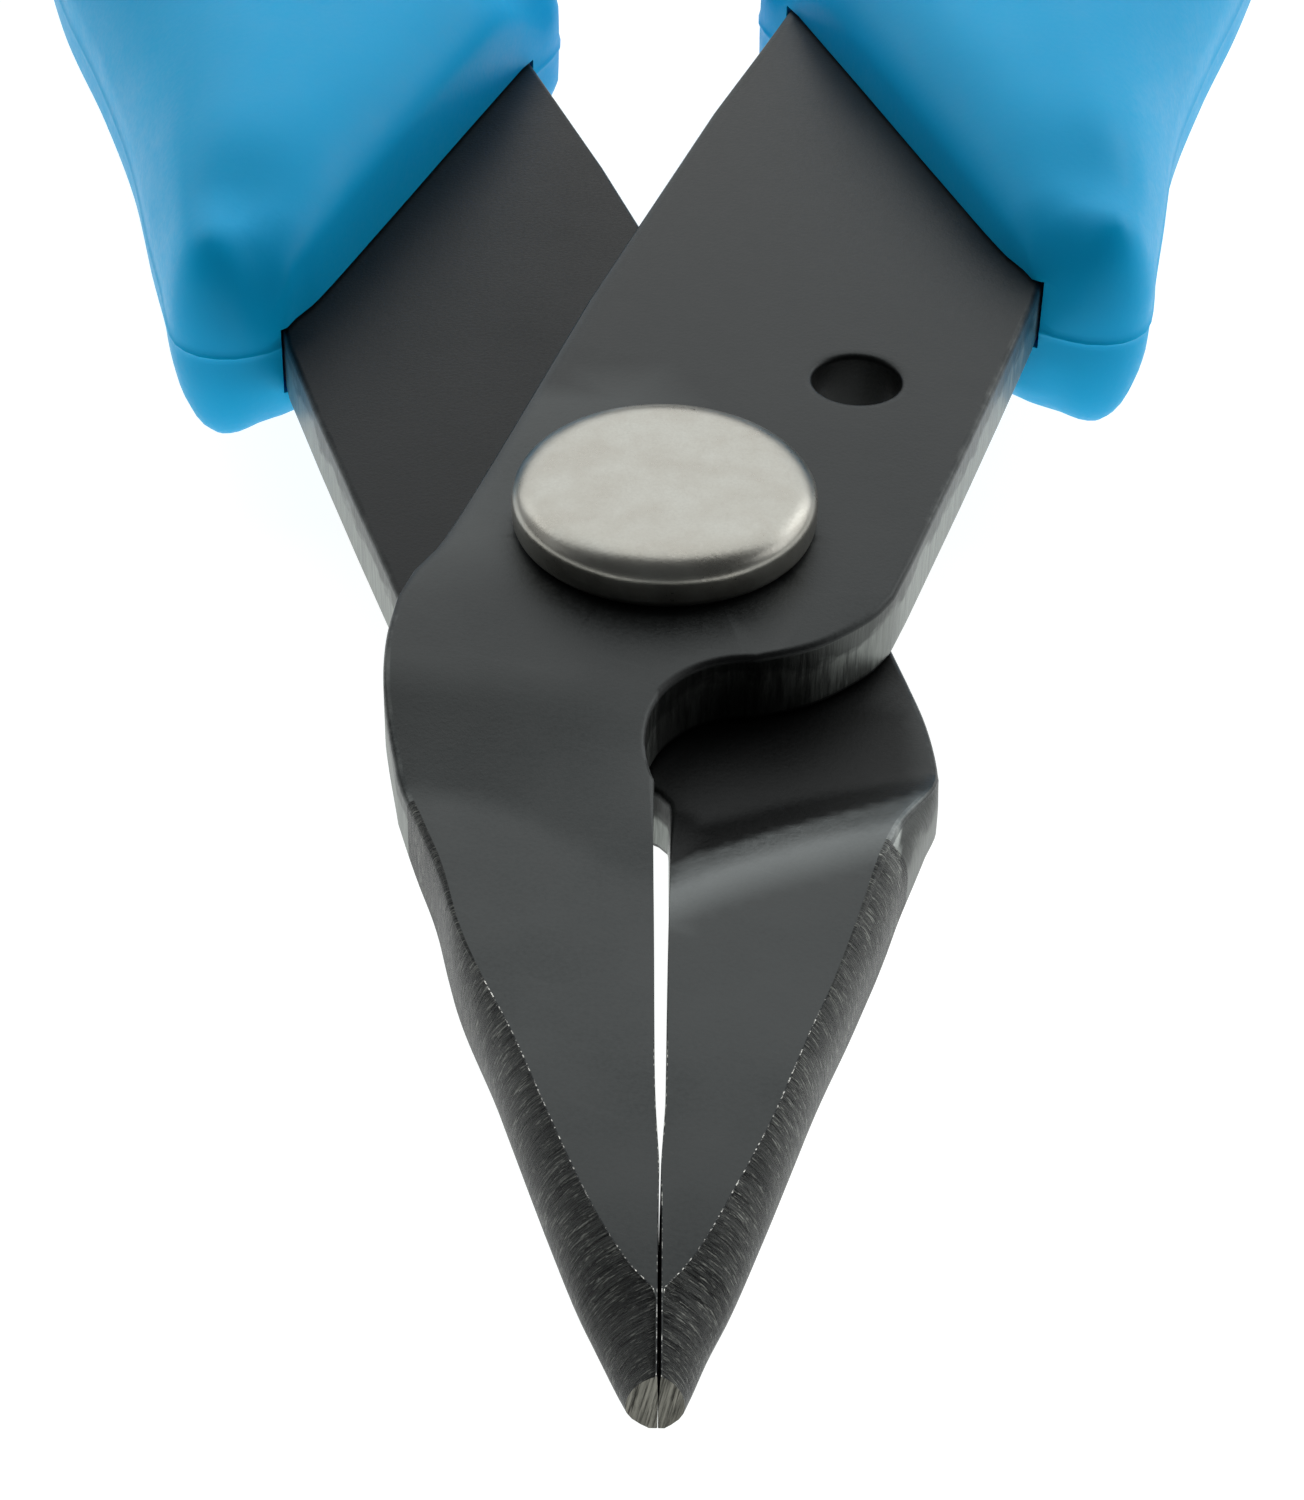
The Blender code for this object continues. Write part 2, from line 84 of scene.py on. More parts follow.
# Finer shape, for the eye.
ARM_STEP, GRIP_STEP, SPRING_STEP = 0.28, 0.6, 0.45  # about how far apart the points of each outline are
EDGE = 0.17  # rounded edges of the stampings
CRISP = 0.02  # ground edges
HOLE_EDGE = 0.14  # rounded edges of the bore and the small hole
BURR_W, BURR_H = 0.05, 0.02  # the raised burr along the ground bevels
DIE_ROLL = (0.55, 0.2)  # width and depth of the soft edge that the press left on the upper arm
FLASH = 0.05  # height of the moulding line round the grips
WALL_BULGE = 0.02  # how far a grip's wall swells at the middle of its height
WALL = [0.06, 0.17, 0.28, 0.39, 0.5, 0.6, 0.69, 0.77, 0.84, 0.9, 0.945, 0.975]  # rings up an arm's side
# Lattices of points on an arm's faces: pitch, margin, and two opposite corners.
ARM_LATTICES = [(0.36, 0.45, (-7.0, -14.6), (1.0, -5.2)), (2.4, 0.9, (-7.0, -5.0), (24.0, 87.0)),
                (0.9, 0.6, (-5.0, -23.5), (0.5, -14.8))]
# How far in each row of points on a grip's pads is.
PAD_ROWS = [0.05, 0.13, 0.25, 0.42, 0.64, 0.92, 1.26, 1.66, 2.12, 2.64, 3.22, 3.86, 4.56, 5.3]
# Rings up a grip's wall from -1 to 1, each with its share of the moulding line's height.
MOULDING_LINE = [(-1, 0), (-0.6, 0), (-0.3, 0), (-0.12, 0), (-0.045, 0.6), (0, 1), (0.045, 0.6), (0.12, 0),
                 (0.3, 0), (0.6, 0), (1, 0)]

# Painted light and shade on the black finish, as a factor on its colour, where 1 is the flat of the jaws.
LOWER_PLATE_PAINTED_SHADE, UPPER_PLATE_PAINTED_SHADE, FRONT_PAINTED_LIGHT = 0.86, 0.66, 0.1  # painted shade on the two plates, and the painted light the upper one gains in front
# Painted shade that darkens the jaws and their bevels toward the tip.
TIP_PAINTED_SHADE = 0.25
RECESS_PAINTED_SHADE, BAND_PAINTED_HIGHLIGHT = 0.76, 2.1  # painted shade in the recess beside the lower jaw, and a painted highlight on the band in front of it
LIP_PAINTED_HIGHLIGHT = 0.8  # painted highlight on the edge that the press rolled over
NOTCH_PAINTED_SHADE, NOTCH_PAINTED_LIGHT = 0.25, 0.6  # painted shade on the relief's wall, and the painted light it gains toward its outer end
SIDE_PAINTED_LIGHT, SHOULDER_PAINTED_SHADE, HOLE_PAINTED_SHADE = 1.1, 0.6, 0.3  # walls: painted light behind the pivot, painted shade below it and in the hole

# Outlines in plan, drawn for an arm whose handle goes to +X; the lower arm is turned over. The jaws
# are ground by hand, so the two arms' outlines differ a little.
JAW_UPPER = [(-6.7, -5.0), (-6.62, -7.0), (-6.2, -9.2), (-5.62, -10.9), (-5.12, -12.5), (-4.78, -14.0),
             (-4.47, -15.3), (-3.7, -17.8), (-2.99, -20.2), (-2.31, -22.4), (-1.59, -24.6), (-1.2, -25.65),
             (-0.84, -26.6), (-0.64, TIP_Y)]
JAW_LOWER = [(-6.42, -5.2), (-6.58, -6.3), (-6.64, -7.3), (-6.6, -8.3), (-6.33, -9.3), (-5.98, -10.4),
             (-5.52, -11.8), (-5.13, -13.1), (-4.74, -14.3), (-4.28, -15.7), (-3.6, -17.7), (-2.83, -20.2),
             (-2.14, -22.4), (-1.4, -24.6), (-1.0, -25.65), (-0.69, -26.6), (-0.52, TIP_Y)]
SEAM = [(-0.006, TIP_Y), (-0.007, -22.4), (-0.017, -21.5), (-0.05, -20.8), (-0.094, -19.9),
        (-0.122, -18.9), (-0.14, -17.2), (-0.155, -15.3), (-0.175, -13.3), (-0.2, -11.5)]
RELIEF = [(-0.2, -9.1), (-0.16, -8.65), (0.06, -8.3), (0.6, -7.9), (1.2, -7.2), (1.8, -6.2)]
SHOULDER_UPPER = [(-5.3, 0.0), (-5.72, -1.2), (-6.2, -2.1), (-6.55, -3.3)]
SHOULDER_LOWER = [(-5.1, 0.0), (-5.45, -1.2), (-5.75, -2.4), (-6.1, -3.8)]
FRONT_RIGHT = [(2.5, -5.5), (3.1, -5.3), (3.8, -4.95), (4.5, -4.4), (5.2, -3.7), (5.68, -2.95)]
TANG_OUTER = [(6.2, -1.5), (7.9, 3.6), (9.2, 7.6), (10.35, 11.2), (11.7, 16.0), (13.5, 22.0),
              (15.3, 29.0), (16.8, 35.0), (18.7, 43.0), (20.6, 52.0), (21.8, 62.0), (22.2, 72.0),
              (21.9, 80.0), (21.2, 85.0), (20.2, 86.5)]
TANG_INNER = [(18.2, 86.6), (17.3, 85.4), (17.3, 76.0), (16.9, 66.0), (15.2, 56.0), (12.2, 46.0),
              (8.6, 38.0), (6.2, 33.0), (4.9, 30.0), (1.9, 21.8), (-1.7, 10.9)]
# Lines across an arm, as y over x: where its outer face starts down and arrives, where its rubbing face
# does, and where the painted shade in the recess of the rubbing face ends.
RAMP_TOP = [(-6.8, -5.7), (-3.5, -6.1), (-0.2, -6.5)]
RAMP_FOOT = [(-6.8, -9.3), (-5.5, -9.8), (-4.0, -10.1), (-2.5, -11.1), (-1.0, -12.3), (-0.2, -12.8)]
RISE_TOP = [(-6.8, -7.2), (-3.5, -8.4), (-0.2, -9.7)]
RISE_FOOT = [(-6.8, -11.0), (-5.0, -11.4), (-2.5, -12.4), (-1.0, -13.2), (-0.2, -13.8)]
RECESS_END = [(-6.8, -8.3), (-5.2, -9.1), (-2.6, -10.3), (-0.2, -11.6)]
# Width of the ground bevel at each y.
BEVEL_UPPER = [(-27.1, 0.55), (-26.5, 0.79), (-25.6, 1.13), (-25.0, 1.34), (-24.4, 1.1), (-23.6, 0.93),
               (-22.4, 0.78), (-21.2, 0.7), (-20.0, 0.64), (-17.5, 0.5), (-15.6, 0.3), (-14.0, 0.12),
               (-10.0, 0.0)]
BEVEL_LOWER = [(-27.1, 0.45), (-26.5, 0.65), (-25.6, 0.95), (-25.0, 1.17), (-24.4, 0.97), (-23.6, 0.8),
               (-22.4, 0.68), (-21.2, 0.56), (-20.0, 0.47), (-17.5, 0.42), (-15.5, 0.4), (-12.0, 0.42),
               (-10.0, 0.38), (-8.8, 0.2), (-7.6, 0.0)]
GRIP_OUTER = [(11.0, 11.55), (11.9, 11.2), (12.9, 11.3), (13.6, 11.9), (13.95, 13.0), (14.2, 14.4),
              (14.85, 17.3), (15.85, 22.1), (17.5, 27.3), (19.5, 32.9), (21.8, 41.0), (23.9, 50.0),
              (25.15, 60.0), (25.6, 70.0), (25.35, 79.0), (24.5, 88.0), (23.2, 94.5), (21.6, 98.3),
              (19.4, GRIP_END_Y), (17.0, 98.9), (15.0, 96.2)]
GRIP_INNER = [(13.9, 91.0), (13.9, 82.0), (13.8, 73.0), (13.0, 63.0), (11.4, 54.0), (8.4, 45.5), (5.6, 38.5),
              (3.9, 33.0), (3.5, 30.4), (3.9, 29.2)]
MOUTH = [(4.6, 27.8), (6.4, 23.0), (8.4, 17.6), (10.1, 13.2), (10.5, 12.5), (10.7, 12.0)]
# Half a grip's thickness at each y, and how far in from its edge it is reached; a hollow in each pad's front.
CROWN = [(9, 3.5), (11.5, 3.65), (14, 4.1), (20, 4.55), (30, 4.7), (60, 5.2), (85, 5.1), (100, 4.6)]
EDGE_REACH = [(9, 1.45), (11.5, 1.55), (14, 1.95), (18, 3.1), (28, 5.2), (40, 5.9), (88, 5.6), (100, 4.4)]
HOLLOW_C, HOLLOW_SIZE, HOLLOW_DEPTH = (12.3, 14.0), (1.7, 1.9), 0.6
# How far each outline is moved in X at each y: no two mouldings are alike.
NO_PUSH = [(0, 0), (100, 0)]
PUSH_TANG_LOWER = [(-3, 0.25), (11, 0.3), (16, 0)]
PUSH_TANG_UPPER = [(-1, 0), (11, -0.4), (22, -0.45), (30, -0.45), (36, 0)]
PUSH_GRIP_LEFT = [(11, 0.2), (14, 0.3), (22, 0.55), (35, 0.55), (55, 0)]
PUSH_GRIP_RIGHT = [(11, 0.0), (14, -0.08), (18, -0.22), (27, -0.34), (34, -0.4), (55, 0)]
PUSH_MOUTH_RIGHT = [(11, -0.42), (31, -0.42), (45, 0)]
SPRING = [(0.0, SPRING_Y), (1.4, SPRING_Y + 0.6), (2.3, SPRING_Y + 2.0), (4.1, 41.5), (7.1, 49.0),
          (9.5, 56.2), (10.7, 60.6), (11.5, 61.7), (12.7, SOCKET_Y), (15.2, SOCKET_Y)]

# The camera: where it stands from the pivot in the rubbing plane, how it is turned in degrees, and its lens.
CAMERA_AT = (-0.79, -70.53, 51.36)
CAMERA_DOWN, CAMERA_ROLL, CAMERA_YAW = 38.84, 1.31, 0.5
LENS = 81.6

TABLE_WHITE = (0.98, 1.0, 0.99, 1)

FACE, BEVELLED, FACET, SIDE, WORN_AND_PAINTED_HIGHLIGHT, BURR = range(6)  # an arm's material slots


# ---- outlines

def spline(points, step, sharp=()):
    """The points joined by a smooth curve, resampled about every `step`; corners in `sharp` stay sharp."""
    points = [np.array(p, float) for p in points]
    out = []
    for i in range(len(points) - 1):
        a, b = points[i], points[i + 1]
        before = points[i - 1] if i and i not in sharp else 2 * a - b
        after = points[i + 2] if i + 2 < len(points) and i + 1 not in sharp else 2 * b - a
        gap = [max(np.linalg.norm(q - p), 1e-6) ** 0.5 for p, q in ((before, a), (a, b), (b, after))]
        t0, t1, t2, t3 = np.cumsum([0.0, *gap])
        count = max(1, int(round(np.linalg.norm(b - a) / step)))
        for t in t1 + (t2 - t1) * np.arange(count) / count:
            a1 = (t1 - t) / (t1 - t0) * before + (t - t0) / (t1 - t0) * a
            a2 = (t2 - t) / (t2 - t1) * a + (t - t1) / (t2 - t1) * b
            a3 = (t3 - t) / (t3 - t2) * b + (t - t2) / (t3 - t2) * after
            b1 = (t2 - t) / (t2 - t0) * a1 + (t - t0) / (t2 - t0) * a2
            b2 = (t3 - t) / (t3 - t1) * a2 + (t - t1) / (t3 - t1) * a3
            out.append((t2 - t) / (t2 - t1) * b1 + (t - t1) / (t2 - t1) * b2)
    return out + [points[-1]]


def smooth_interp(x, table):
    """np.interp without corners: the table is first drawn as a smooth curve."""
    fine = np.array(spline(table, 0.25))
    order = np.argsort(fine[:, 0])
    return np.interp(x, fine[order, 0], fine[order, 1])


def pushed(points, table):
    """The points moved in X by what the table of (y, move) gives."""
    ys, dx = zip(*table)
    return [(x + float(np.interp(y, ys, dx)), y) for x, y in points]


def circle(centre, radius, count):
    """Points round a hole, clockwise, so that the solid is on their left."""
    angle = -np.linspace(0, 2 * math.pi, count, endpoint=False)
    return np.column_stack([centre[0] + radius * np.cos(angle), centre[1] + radius * np.sin(angle)])


def inward(loop):
    """Unit vectors at the corners of a loop, pointing to its left, where the solid is."""
    ahead, behind = np.roll(loop, -1, axis=0) - loop, loop - np.roll(loop, 1, axis=0)
    ahead /= np.linalg.norm(ahead, axis=1)[:, None]
    behind /= np.linalg.norm(behind, axis=1)[:, None]
    along = ahead + behind
    along /= np.linalg.norm(along, axis=1)[:, None]
    return np.column_stack([-along[:, 1], along[:, 0]])


def distance(points, line):
    """Distance of each point from an open polyline."""
    best = np.full(len(points), 1e9)
    for a, b in zip(line[:-1], line[1:]):
        ab = b - a
        t = np.clip(((points - a) @ ab) / (ab @ ab), 0, 1)
        best = np.minimum(best, np.linalg.norm(points - a - t[:, None] * ab, axis=1))
    return best


def edge_distance(points, loop):
    """Distance of each point from a closed loop."""
    return distance(points, np.vstack([loop, loop[:1]]))


def inside(points, loop):
    """Which points are inside a closed loop."""
    x, y = points[:, 0], points[:, 1]
    odd = np.zeros(len(points), bool)
    for (ax, ay), (bx, by) in zip(loop, np.roll(loop, -1, axis=0)):
        if ay != by:
            odd ^= ((ay > y) != (by > y)) & (x < (bx - ax) * (y - ay) / (by - ay) + ax)
    return odd


def lattice(loops, pitch, margin, low=None, high=None):
    """Staggered points inside loops[0] and outside the others, no closer than the margin to any."""
    low = loops[0].min(axis=0) if low is None else np.array(low)
    high = loops[0].max(axis=0) if high is None else np.array(high)
    row_pitch = pitch * 0.87
    xs, ys = np.arange(low[0], high[0], pitch), np.arange(low[1], high[1], row_pitch)
    points = np.array([(x + (row % 2) * pitch / 2, y) for row, y in enumerate(ys) for x in xs])
    keep = inside(points, loops[0])
    for loop in loops[1:]:
        keep &= ~inside(points, loop)
    for loop in loops:
        keep &= edge_distance(points, loop) > margin
    return points[keep]


# ---- meshes

def cap(loops, points):
    """Triangles over the area inside loops[0] and outside the others, through the points."""
    verts = np.vstack([*loops, points]) if len(points) else np.vstack(loops)
    edges, first = [], 0
    for loop in loops:
        n = len(loop)
        edges += [(first + i, first + (i + 1) % n) for i in range(n)]
        first += n
    found = delaunay_2d_cdt([tuple(v) for v in verts], edges, [], 2, 1e-7)
    source = np.array([ids[0] for ids in found[3]])
    faces = source[np.array(found[2])]
    centres = verts[faces].mean(axis=1)
    solid = np.ones(len(faces), bool)
    for loop in loops[1:]:
        solid &= ~inside(centres, loop)
    faces = faces[solid]
    u, v = verts[faces[:, 1]] - verts[faces[:, 0]], verts[faces[:, 2]] - verts[faces[:, 0]]
    turned = u[:, 0] * v[:, 1] - u[:, 1] * v[:, 0] < 0
    faces[turned] = faces[turned][:, ::-1]
    return faces


def slab(loops, rings, points, low, high):
    """Vertices, faces and the ring each side face starts from: -1 on the lower face, -2 on the upper."""
    sizes = [len(loop) for loop in loops]
    total = sum(sizes)
    verts = [np.vstack(ring) for ring in rings]
    faces, place = [], []
    for k in range(len(rings) - 1):
        first = 0
        for n in sizes:
            for i in range(n):
                a, b = first + i, first + (i + 1) % n
                faces.append((k * total + a, k * total + b, (k + 1) * total + b, (k + 1) * total + a))
                place.append(k)
            first += n
    base = len(rings) * total
    for ring, surface, side in ((0, low, -1), (len(rings) - 1, high, -2)):
        border = np.vstack(rings[ring])[:, :2]
        split = np.split(border, np.cumsum(sizes)[:-1])
        index = np.concatenate([np.arange(total) + ring * total, np.arange(len(points)) + base])
        for face in index[cap(split, points)]:
            faces.append(tuple(face[::-1] if side == -1 else face))
            place.append(side)
        if len(points):
            verts.append(np.column_stack([points, surface(points)]))
            base += len(points)
    return np.vstack(verts), faces, np.array(place)


def piece(name, verts, faces, materials, rub_z, slots=None, sharp=40.0):
    """An object from vertices in millimetres about the pivot. Edges over `sharp` degrees stay hard."""
    mesh = bpy.data.meshes.new(name)
    mesh.from_pydata(((verts + [0, 0, rub_z]) * MM).tolist(), [], [tuple(int(i) for i in f) for f in faces])
    obj = bpy.data.objects.new(name, mesh)
    bpy.context.scene.collection.objects.link(obj)
    for material in materials:
        mesh.materials.append(material)
    if slots is not None:
        mesh.polygons.foreach_set("material_index", np.asarray(slots, np.int32))
    mesh.shade_smooth()
    mesh.set_sharp_from_angle(angle=math.radians(sharp))
    return obj


def weigh_normals(obj):
    """Lets the large flat faces decide the shading, so that the narrow rounded edges don't bend it."""
    modifier = obj.modifiers.new("even shading", "WEIGHTED_NORMAL")
    modifier.keep_sharp = True
    modifier.weight = 60


def apply_modifiers(obj):
    graph = bpy.context.evaluated_depsgraph_get()
    done = bpy.data.meshes.new_from_object(obj.evaluated_get(graph), depsgraph=graph)
    obj.modifiers.clear()
    obj.data = done


# ---- arms

def fade(value, start, end):
    """0 up to the start and 1 past the end, with an even slope between them."""
    return np.clip((value - start) / (end - start), 0, 1)


def between(start, end, points):
    """0 before the start line, 1 past the end line, for lines given as y over x."""
    y0 = smooth_interp(points[:, 0], start)
    y1 = smooth_interp(points[:, 0], end)
    return np.clip((y0 - points[:, 1]) / (y0 - y1), 0, 1)


def along_die_roll(y):
    """1 along the stretch of the upper arm's edge that the press rolled over, fading out at both ends."""
    return fade(y, -4.5, -0.5) * fade(y, 30.0, 26.0)


def off_flank(x, y):
    """How far to the left a point is of a line that runs inside the upper arm, along its left edge."""
    return 0.36 * y - 2.7 - x


def nose(points, top):
    """How much is ground off a face at the very tip: little off the top, more off the bottom."""
    start, length, depth = (-25.0, 2.1, 0.12) if top else (-24.6, 2.5, 0.36)
    return np.clip((start - points[:, 1]) / length, 0, 1) ** 1.5 * depth


def outer_face(points, lower):
    """Height of an arm's outer face, before turning over: flat, then down the joggle to the jaw."""
    t = between(RAMP_TOP, RAMP_FOOT, points)
    fall = np.where(t < 0.3, t * t / 0.51, (t - 0.15) / 0.85)
    return PLATE_T - (PLATE_T - JAW_HALF) * fall - nose(points, not lower)


def rubbing_face(points, lower):
    """Height of an arm's rubbing face, which drops with the joggle."""
    t = between(RISE_TOP, RISE_FOOT, points)
    slope = 1.3 * t - 0.045
    fall = np.where(t < 0.07, t * t * 9.4, np.where(t < 0.62, slope, 1 - 0.239 * ((1 - t) / 0.38) ** 2.05))
    return RUN_GAP - (RUN_GAP + JAW_HALF) * fall + nose(points, lower)


def upper_notch(step):
    """The round relief beside the upper jaw's root."""
    turns = np.radians(np.linspace(*NOTCH_TURN, int(26 / max(step, 0.3) ** 0.5)))
    return [(NOTCH_C[0] + NOTCH_RX * math.cos(a), NOTCH_C[1] + NOTCH_RY * math.sin(a)) for a in turns]


def arm_loop(step, lower):
    """The outline of an arm, starting at the tip of its seam and going round with the solid on the left."""
    if lower:
        jaw_points, shoulder, notch = JAW_LOWER, SHOULDER_LOWER, spline(RELIEF, step)
        outer_points, inner_points = pushed(TANG_OUTER, PUSH_TANG_LOWER), TANG_INNER
    else:
        jaw_points, shoulder, notch = JAW_UPPER, SHOULDER_UPPER, upper_notch(step)
        outer_points, inner_points = TANG_OUTER, pushed(TANG_INNER, PUSH_TANG_UPPER)
    right = spline(FRONT_RIGHT, step)
    outer = spline(outer_points, 3 * step, sharp=(1, 2, 3))
    inner = spline(inner_points + shoulder, 3 * step, sharp=(8, 9, 10))
    jaw = spline([shoulder[-1]] + jaw_points, step, sharp=() if lower else (3,))[1:]
    return np.array(spline(SEAM, step) + notch + right + outer + inner + jaw)


def jaw_zones(loop, lower):
    """Which corners of an arm's outline are on the blunt end, on the outside of the jaw, and on the seam."""
    x, y = loop.T
    at_end = np.abs(y - TIP_Y) < 0.02
    on_jaw = (y < (-7.5 if lower else -10.0)) & (x < -0.45)
    on_seam = (np.abs(x) < 0.3) & (y < -11.0) & ~on_jaw
    return at_end, on_jaw, on_seam


def bevel_width(y, lower):
    return smooth_interp(y, sorted(BEVEL_LOWER if lower else BEVEL_UPPER))


def inset_directions(loop, at_end, on_blade):
    """Unit vectors into the solid, parallel to X along the blades, so that the tip keeps its place."""
    normal = inward(loop)
    normal[at_end] = np.where(loop[at_end, :1] < -0.3, [[1.0, 0.0]], [[-1.0, 0.0]])
    flat = fade(loop[:, 1], -12.0, -14.0)[:, None]
    level = normal * (1 - flat * [[0, 1]])
    return np.where(on_blade[:, None], level / np.linalg.norm(level, axis=1)[:, None], normal)


def edge_sizes(loop, lower):
    """(width, depth) of the rounded edge at each corner, for the rubbing face and for the outer face."""
    x, y = loop.T
    at_end, on_jaw, on_seam = jaw_zones(loop, lower)
    ground = fade(y, -12.0, -16.0)
    width = np.where(on_jaw, EDGE * (1 - ground) + BURR_W * ground, EDGE)
    width = np.where(on_seam | at_end, CRISP, width)
    depth = np.where(on_jaw, EDGE * (1 - ground) + BURR_H * ground, width)
    rolled = along_die_roll(y) * (off_flank(x, y) > 0) * (not lower)
    return (width, depth), (width + (DIE_ROLL[0] - EDGE) * rolled, depth + (DIE_ROLL[1] - EDGE) * rolled)


def bevel_roll(up, foot):
    """Share of the bevel's width that is ground off at a height from -1, the underside, to 1, the top."""
    if up > -0.2:
        return (1 - math.sqrt(1 - (0.93 * (up + 0.2) / 1.2) ** 2)) / 0.632
    return foot * ((-up - 0.2) / 0.8) ** 2.2


def lifted(at, share, cosine, low_edge, high_edge, lower):
    """Points of an arm's side at a share of the wall's height: 0 and 1 are its rounded edges."""
    low, high = rubbing_face(at, lower), outer_face(at, lower)
    if share == 0.0:
        z = low + low_edge * (1 - cosine)
    elif share == 1.0:
        z = high - high_edge * (1 - cosine)
    else:
        z = low + low_edge + share * (high - low - low_edge - high_edge)
    return np.column_stack([at, z])


def arm_rings(loops, lower):
    """The side of an arm as rings: a rounded edge, the wall with its ground bevel, a rounded edge."""
    loop = loops[0]
    x, y = loop.T
    at_end, on_jaw, on_seam = jaw_zones(loop, lower)
    normal = inset_directions(loop, at_end, on_jaw | on_seam)
    bevel = np.where(on_jaw, bevel_width(y, lower), 0)
    foot = 0.35 * fade(y, -14.0, -20.0) + 0.45 * fade(y, -24.0, -27.0)
    relief = np.where(on_seam | at_end, 0.03 * fade(y, -21.5, -23.0), 0) * (x > -0.3)
    low_edge, high_edge = edge_sizes(loop, lower)
    walls = [1 - share for share in reversed(WALL)] if lower else WALL
    levels = [(0.0, turn) for turn in (0, 30, 60, 90)] + [(share, 90) for share in walls]
    levels += [(1.0, turn) for turn in (90, 60, 30, 0)]
    rings = []
    for share, turn in levels:
        sine, cosine = math.sin(math.radians(turn)), math.cos(math.radians(turn))
        up = (2 * share - 1) * (-1 if lower else 1)
        rounding = (high_edge if share == 1.0 else low_edge)[0] * (1 - sine)
        inset = bevel * bevel_roll(up, foot) + relief * max(up, 0) + rounding
        at = loop + normal * inset[:, None]
        clear_of_seam = -0.066 - 0.004 * np.abs(at[on_jaw, 1] - TIP_Y)
        at[on_jaw, 0] = np.minimum(at[on_jaw, 0], clear_of_seam)
        ring = [lifted(at, share, cosine, low_edge[1], high_edge[1], lower)]
        for hole in loops[1:]:
            at = hole + inward(hole) * (HOLE_EDGE * (1 - sine))
            ring.append(lifted(at, share, cosine, HOLE_EDGE, HOLE_EDGE, lower))
        rings.append(ring)
    return rings, [share for share, turn in levels]


def recess_zones(x, y):
    """Shares of the painted shade in the lower arm's recess and of the painted highlight on the band in front
    of it.
    """
    past = smooth_interp(x, RECESS_END) - y
    foot = smooth_interp(x, RISE_FOOT) - y
    dark = np.clip(0.5 - past / 0.3, 0, 1) * np.clip((x + 6.6) / 0.8, 0.35, 1)
    band = np.clip(0.5 + past / 0.3, 0, 1) * np.clip(0.5 - foot / 1.4, 0, 1) * (x < 0)
    return dark, band


def finish_tone(x, y, height, lower):
    """Painted light and shade on the black finish at each point; the height goes from 0, the rubbing face, to
    1.
    """
    # painted shade on the plates, and painted light on the upper one toward the front
    plate = LOWER_PLATE_PAINTED_SHADE if lower else UPPER_PLATE_PAINTED_SHADE + FRONT_PAINTED_LIGHT * fade(y, 2.0, -6.0)
    # painted shade toward the tip
    tone = plate + (1 - plate) * fade(y, -7.0, -10.0) - TIP_PAINTED_SHADE * fade(y, -18.0, -25.0)
    if lower:
        # painted shade in the recess and a painted highlight on the band in front of it
        dark, band = recess_zones(x, y)
        tone = np.where(height < 0.5, tone * (1 - RECESS_PAINTED_SHADE * dark) * (1 + BAND_PAINTED_HIGHLIGHT * band), tone)
    else:
        # painted highlight along the edge that the press rolled over
        lip = along_die_roll(y) * np.clip(off_flank(x, y) / 0.4 + 1, 0, 1)
        tone = tone * (1 + LIP_PAINTED_HIGHLIGHT * lip * (y < 6))
        # painted shade on the relief's wall, with painted light toward its outer end
        in_notch = (x > -0.1) & (x < 4.9) & (y < -3.0) & (height > 0) & (height < 1)
        tone = np.where(in_notch, NOTCH_PAINTED_SHADE + NOTCH_PAINTED_LIGHT * fade(x, 2.4, 4.8), tone)
    # painted light on the walls behind the pivot, painted shade on the lower arm's walls below it
    on_wall = (height > 0.02) & (height < 0.98)
    tone = np.where(on_wall & (y > -2.5), SIDE_PAINTED_LIGHT, tone)
    tone = np.where(on_wall & lower & (x < -5.5) & (y < -5), SHOULDER_PAINTED_SHADE, tone)
    # painted shade inside the small hole
    in_hole = np.hypot(x - HOLE_C[0], y - HOLE_C[1]) < HOLE_R + 0.1
    return np.where(in_hole & (height < 0.97) & (not lower), HOLE_PAINTED_SHADE, tone)


def face_points(loops, lower):
    """Points on an arm's faces, clear of its rounded edges and closer together where the faces curve."""
    points = np.vstack([lattice(loops, *area) for area in ARM_LATTICES])
    if not lower:
        near = [circle(HOLE_C, HOLE_R + ring, 40) for ring in (0.3, 0.7, 1.2)]
        points = np.vstack([points[np.hypot(*(points - HOLE_C).T) > HOLE_R + 1.6], *near])
    away = edge_distance(points, loops[0])
    keep = (away > bevel_width(points[:, 1], lower) + 0.25) | (points[:, 1] > -7.0)
    keep &= (away > DIE_ROLL[0] + 0.3) | (points[:, 1] < -5.0)
    return points[keep]


def arm_slots(faces, place, loops, ring_count, lower):
    """Material slot of each face of an arm. Faces that aren't on its outer side have the black finish."""
    loop = loops[0]
    total = sum(len(part) for part in loops)
    at_end, on_jaw, on_seam = jaw_zones(loop, lower)
    walls = range(3, ring_count - 4)
    burr_ring = 0 if lower else ring_count - 2
    ground_from = -11.2 if lower else -9.4
    slots = np.full(len(faces), FACE)
    for index, (face, k) in enumerate(zip(faces, place)):
        corner, neighbour = face[0] % total, face[1] % total
        if k < 0 or corner >= len(loop):
            continue
        x, y = loop[corner]
        if at_end[corner] and at_end[neighbour]:
            slots[index] = FACET
        elif k == burr_ring and ((on_seam[corner] and y < -18) or (on_jaw[corner] and y < -16)):
            slots[index] = BURR
        elif on_jaw[corner] and y < ground_from:
            slots[index] = BEVELLED
        elif k in walls:
            slots[index] = SIDE
        elif (y > -4 and off_flank(x, y) > 0) or abs(x) < 0.45 or x > 0 > y:
            slots[index] = FACE
        # rounded edges: rubbed thin, with a painted highlight
        else:
            slots[index] = WORN_AND_PAINTED_HIGHLIGHT
    return slots


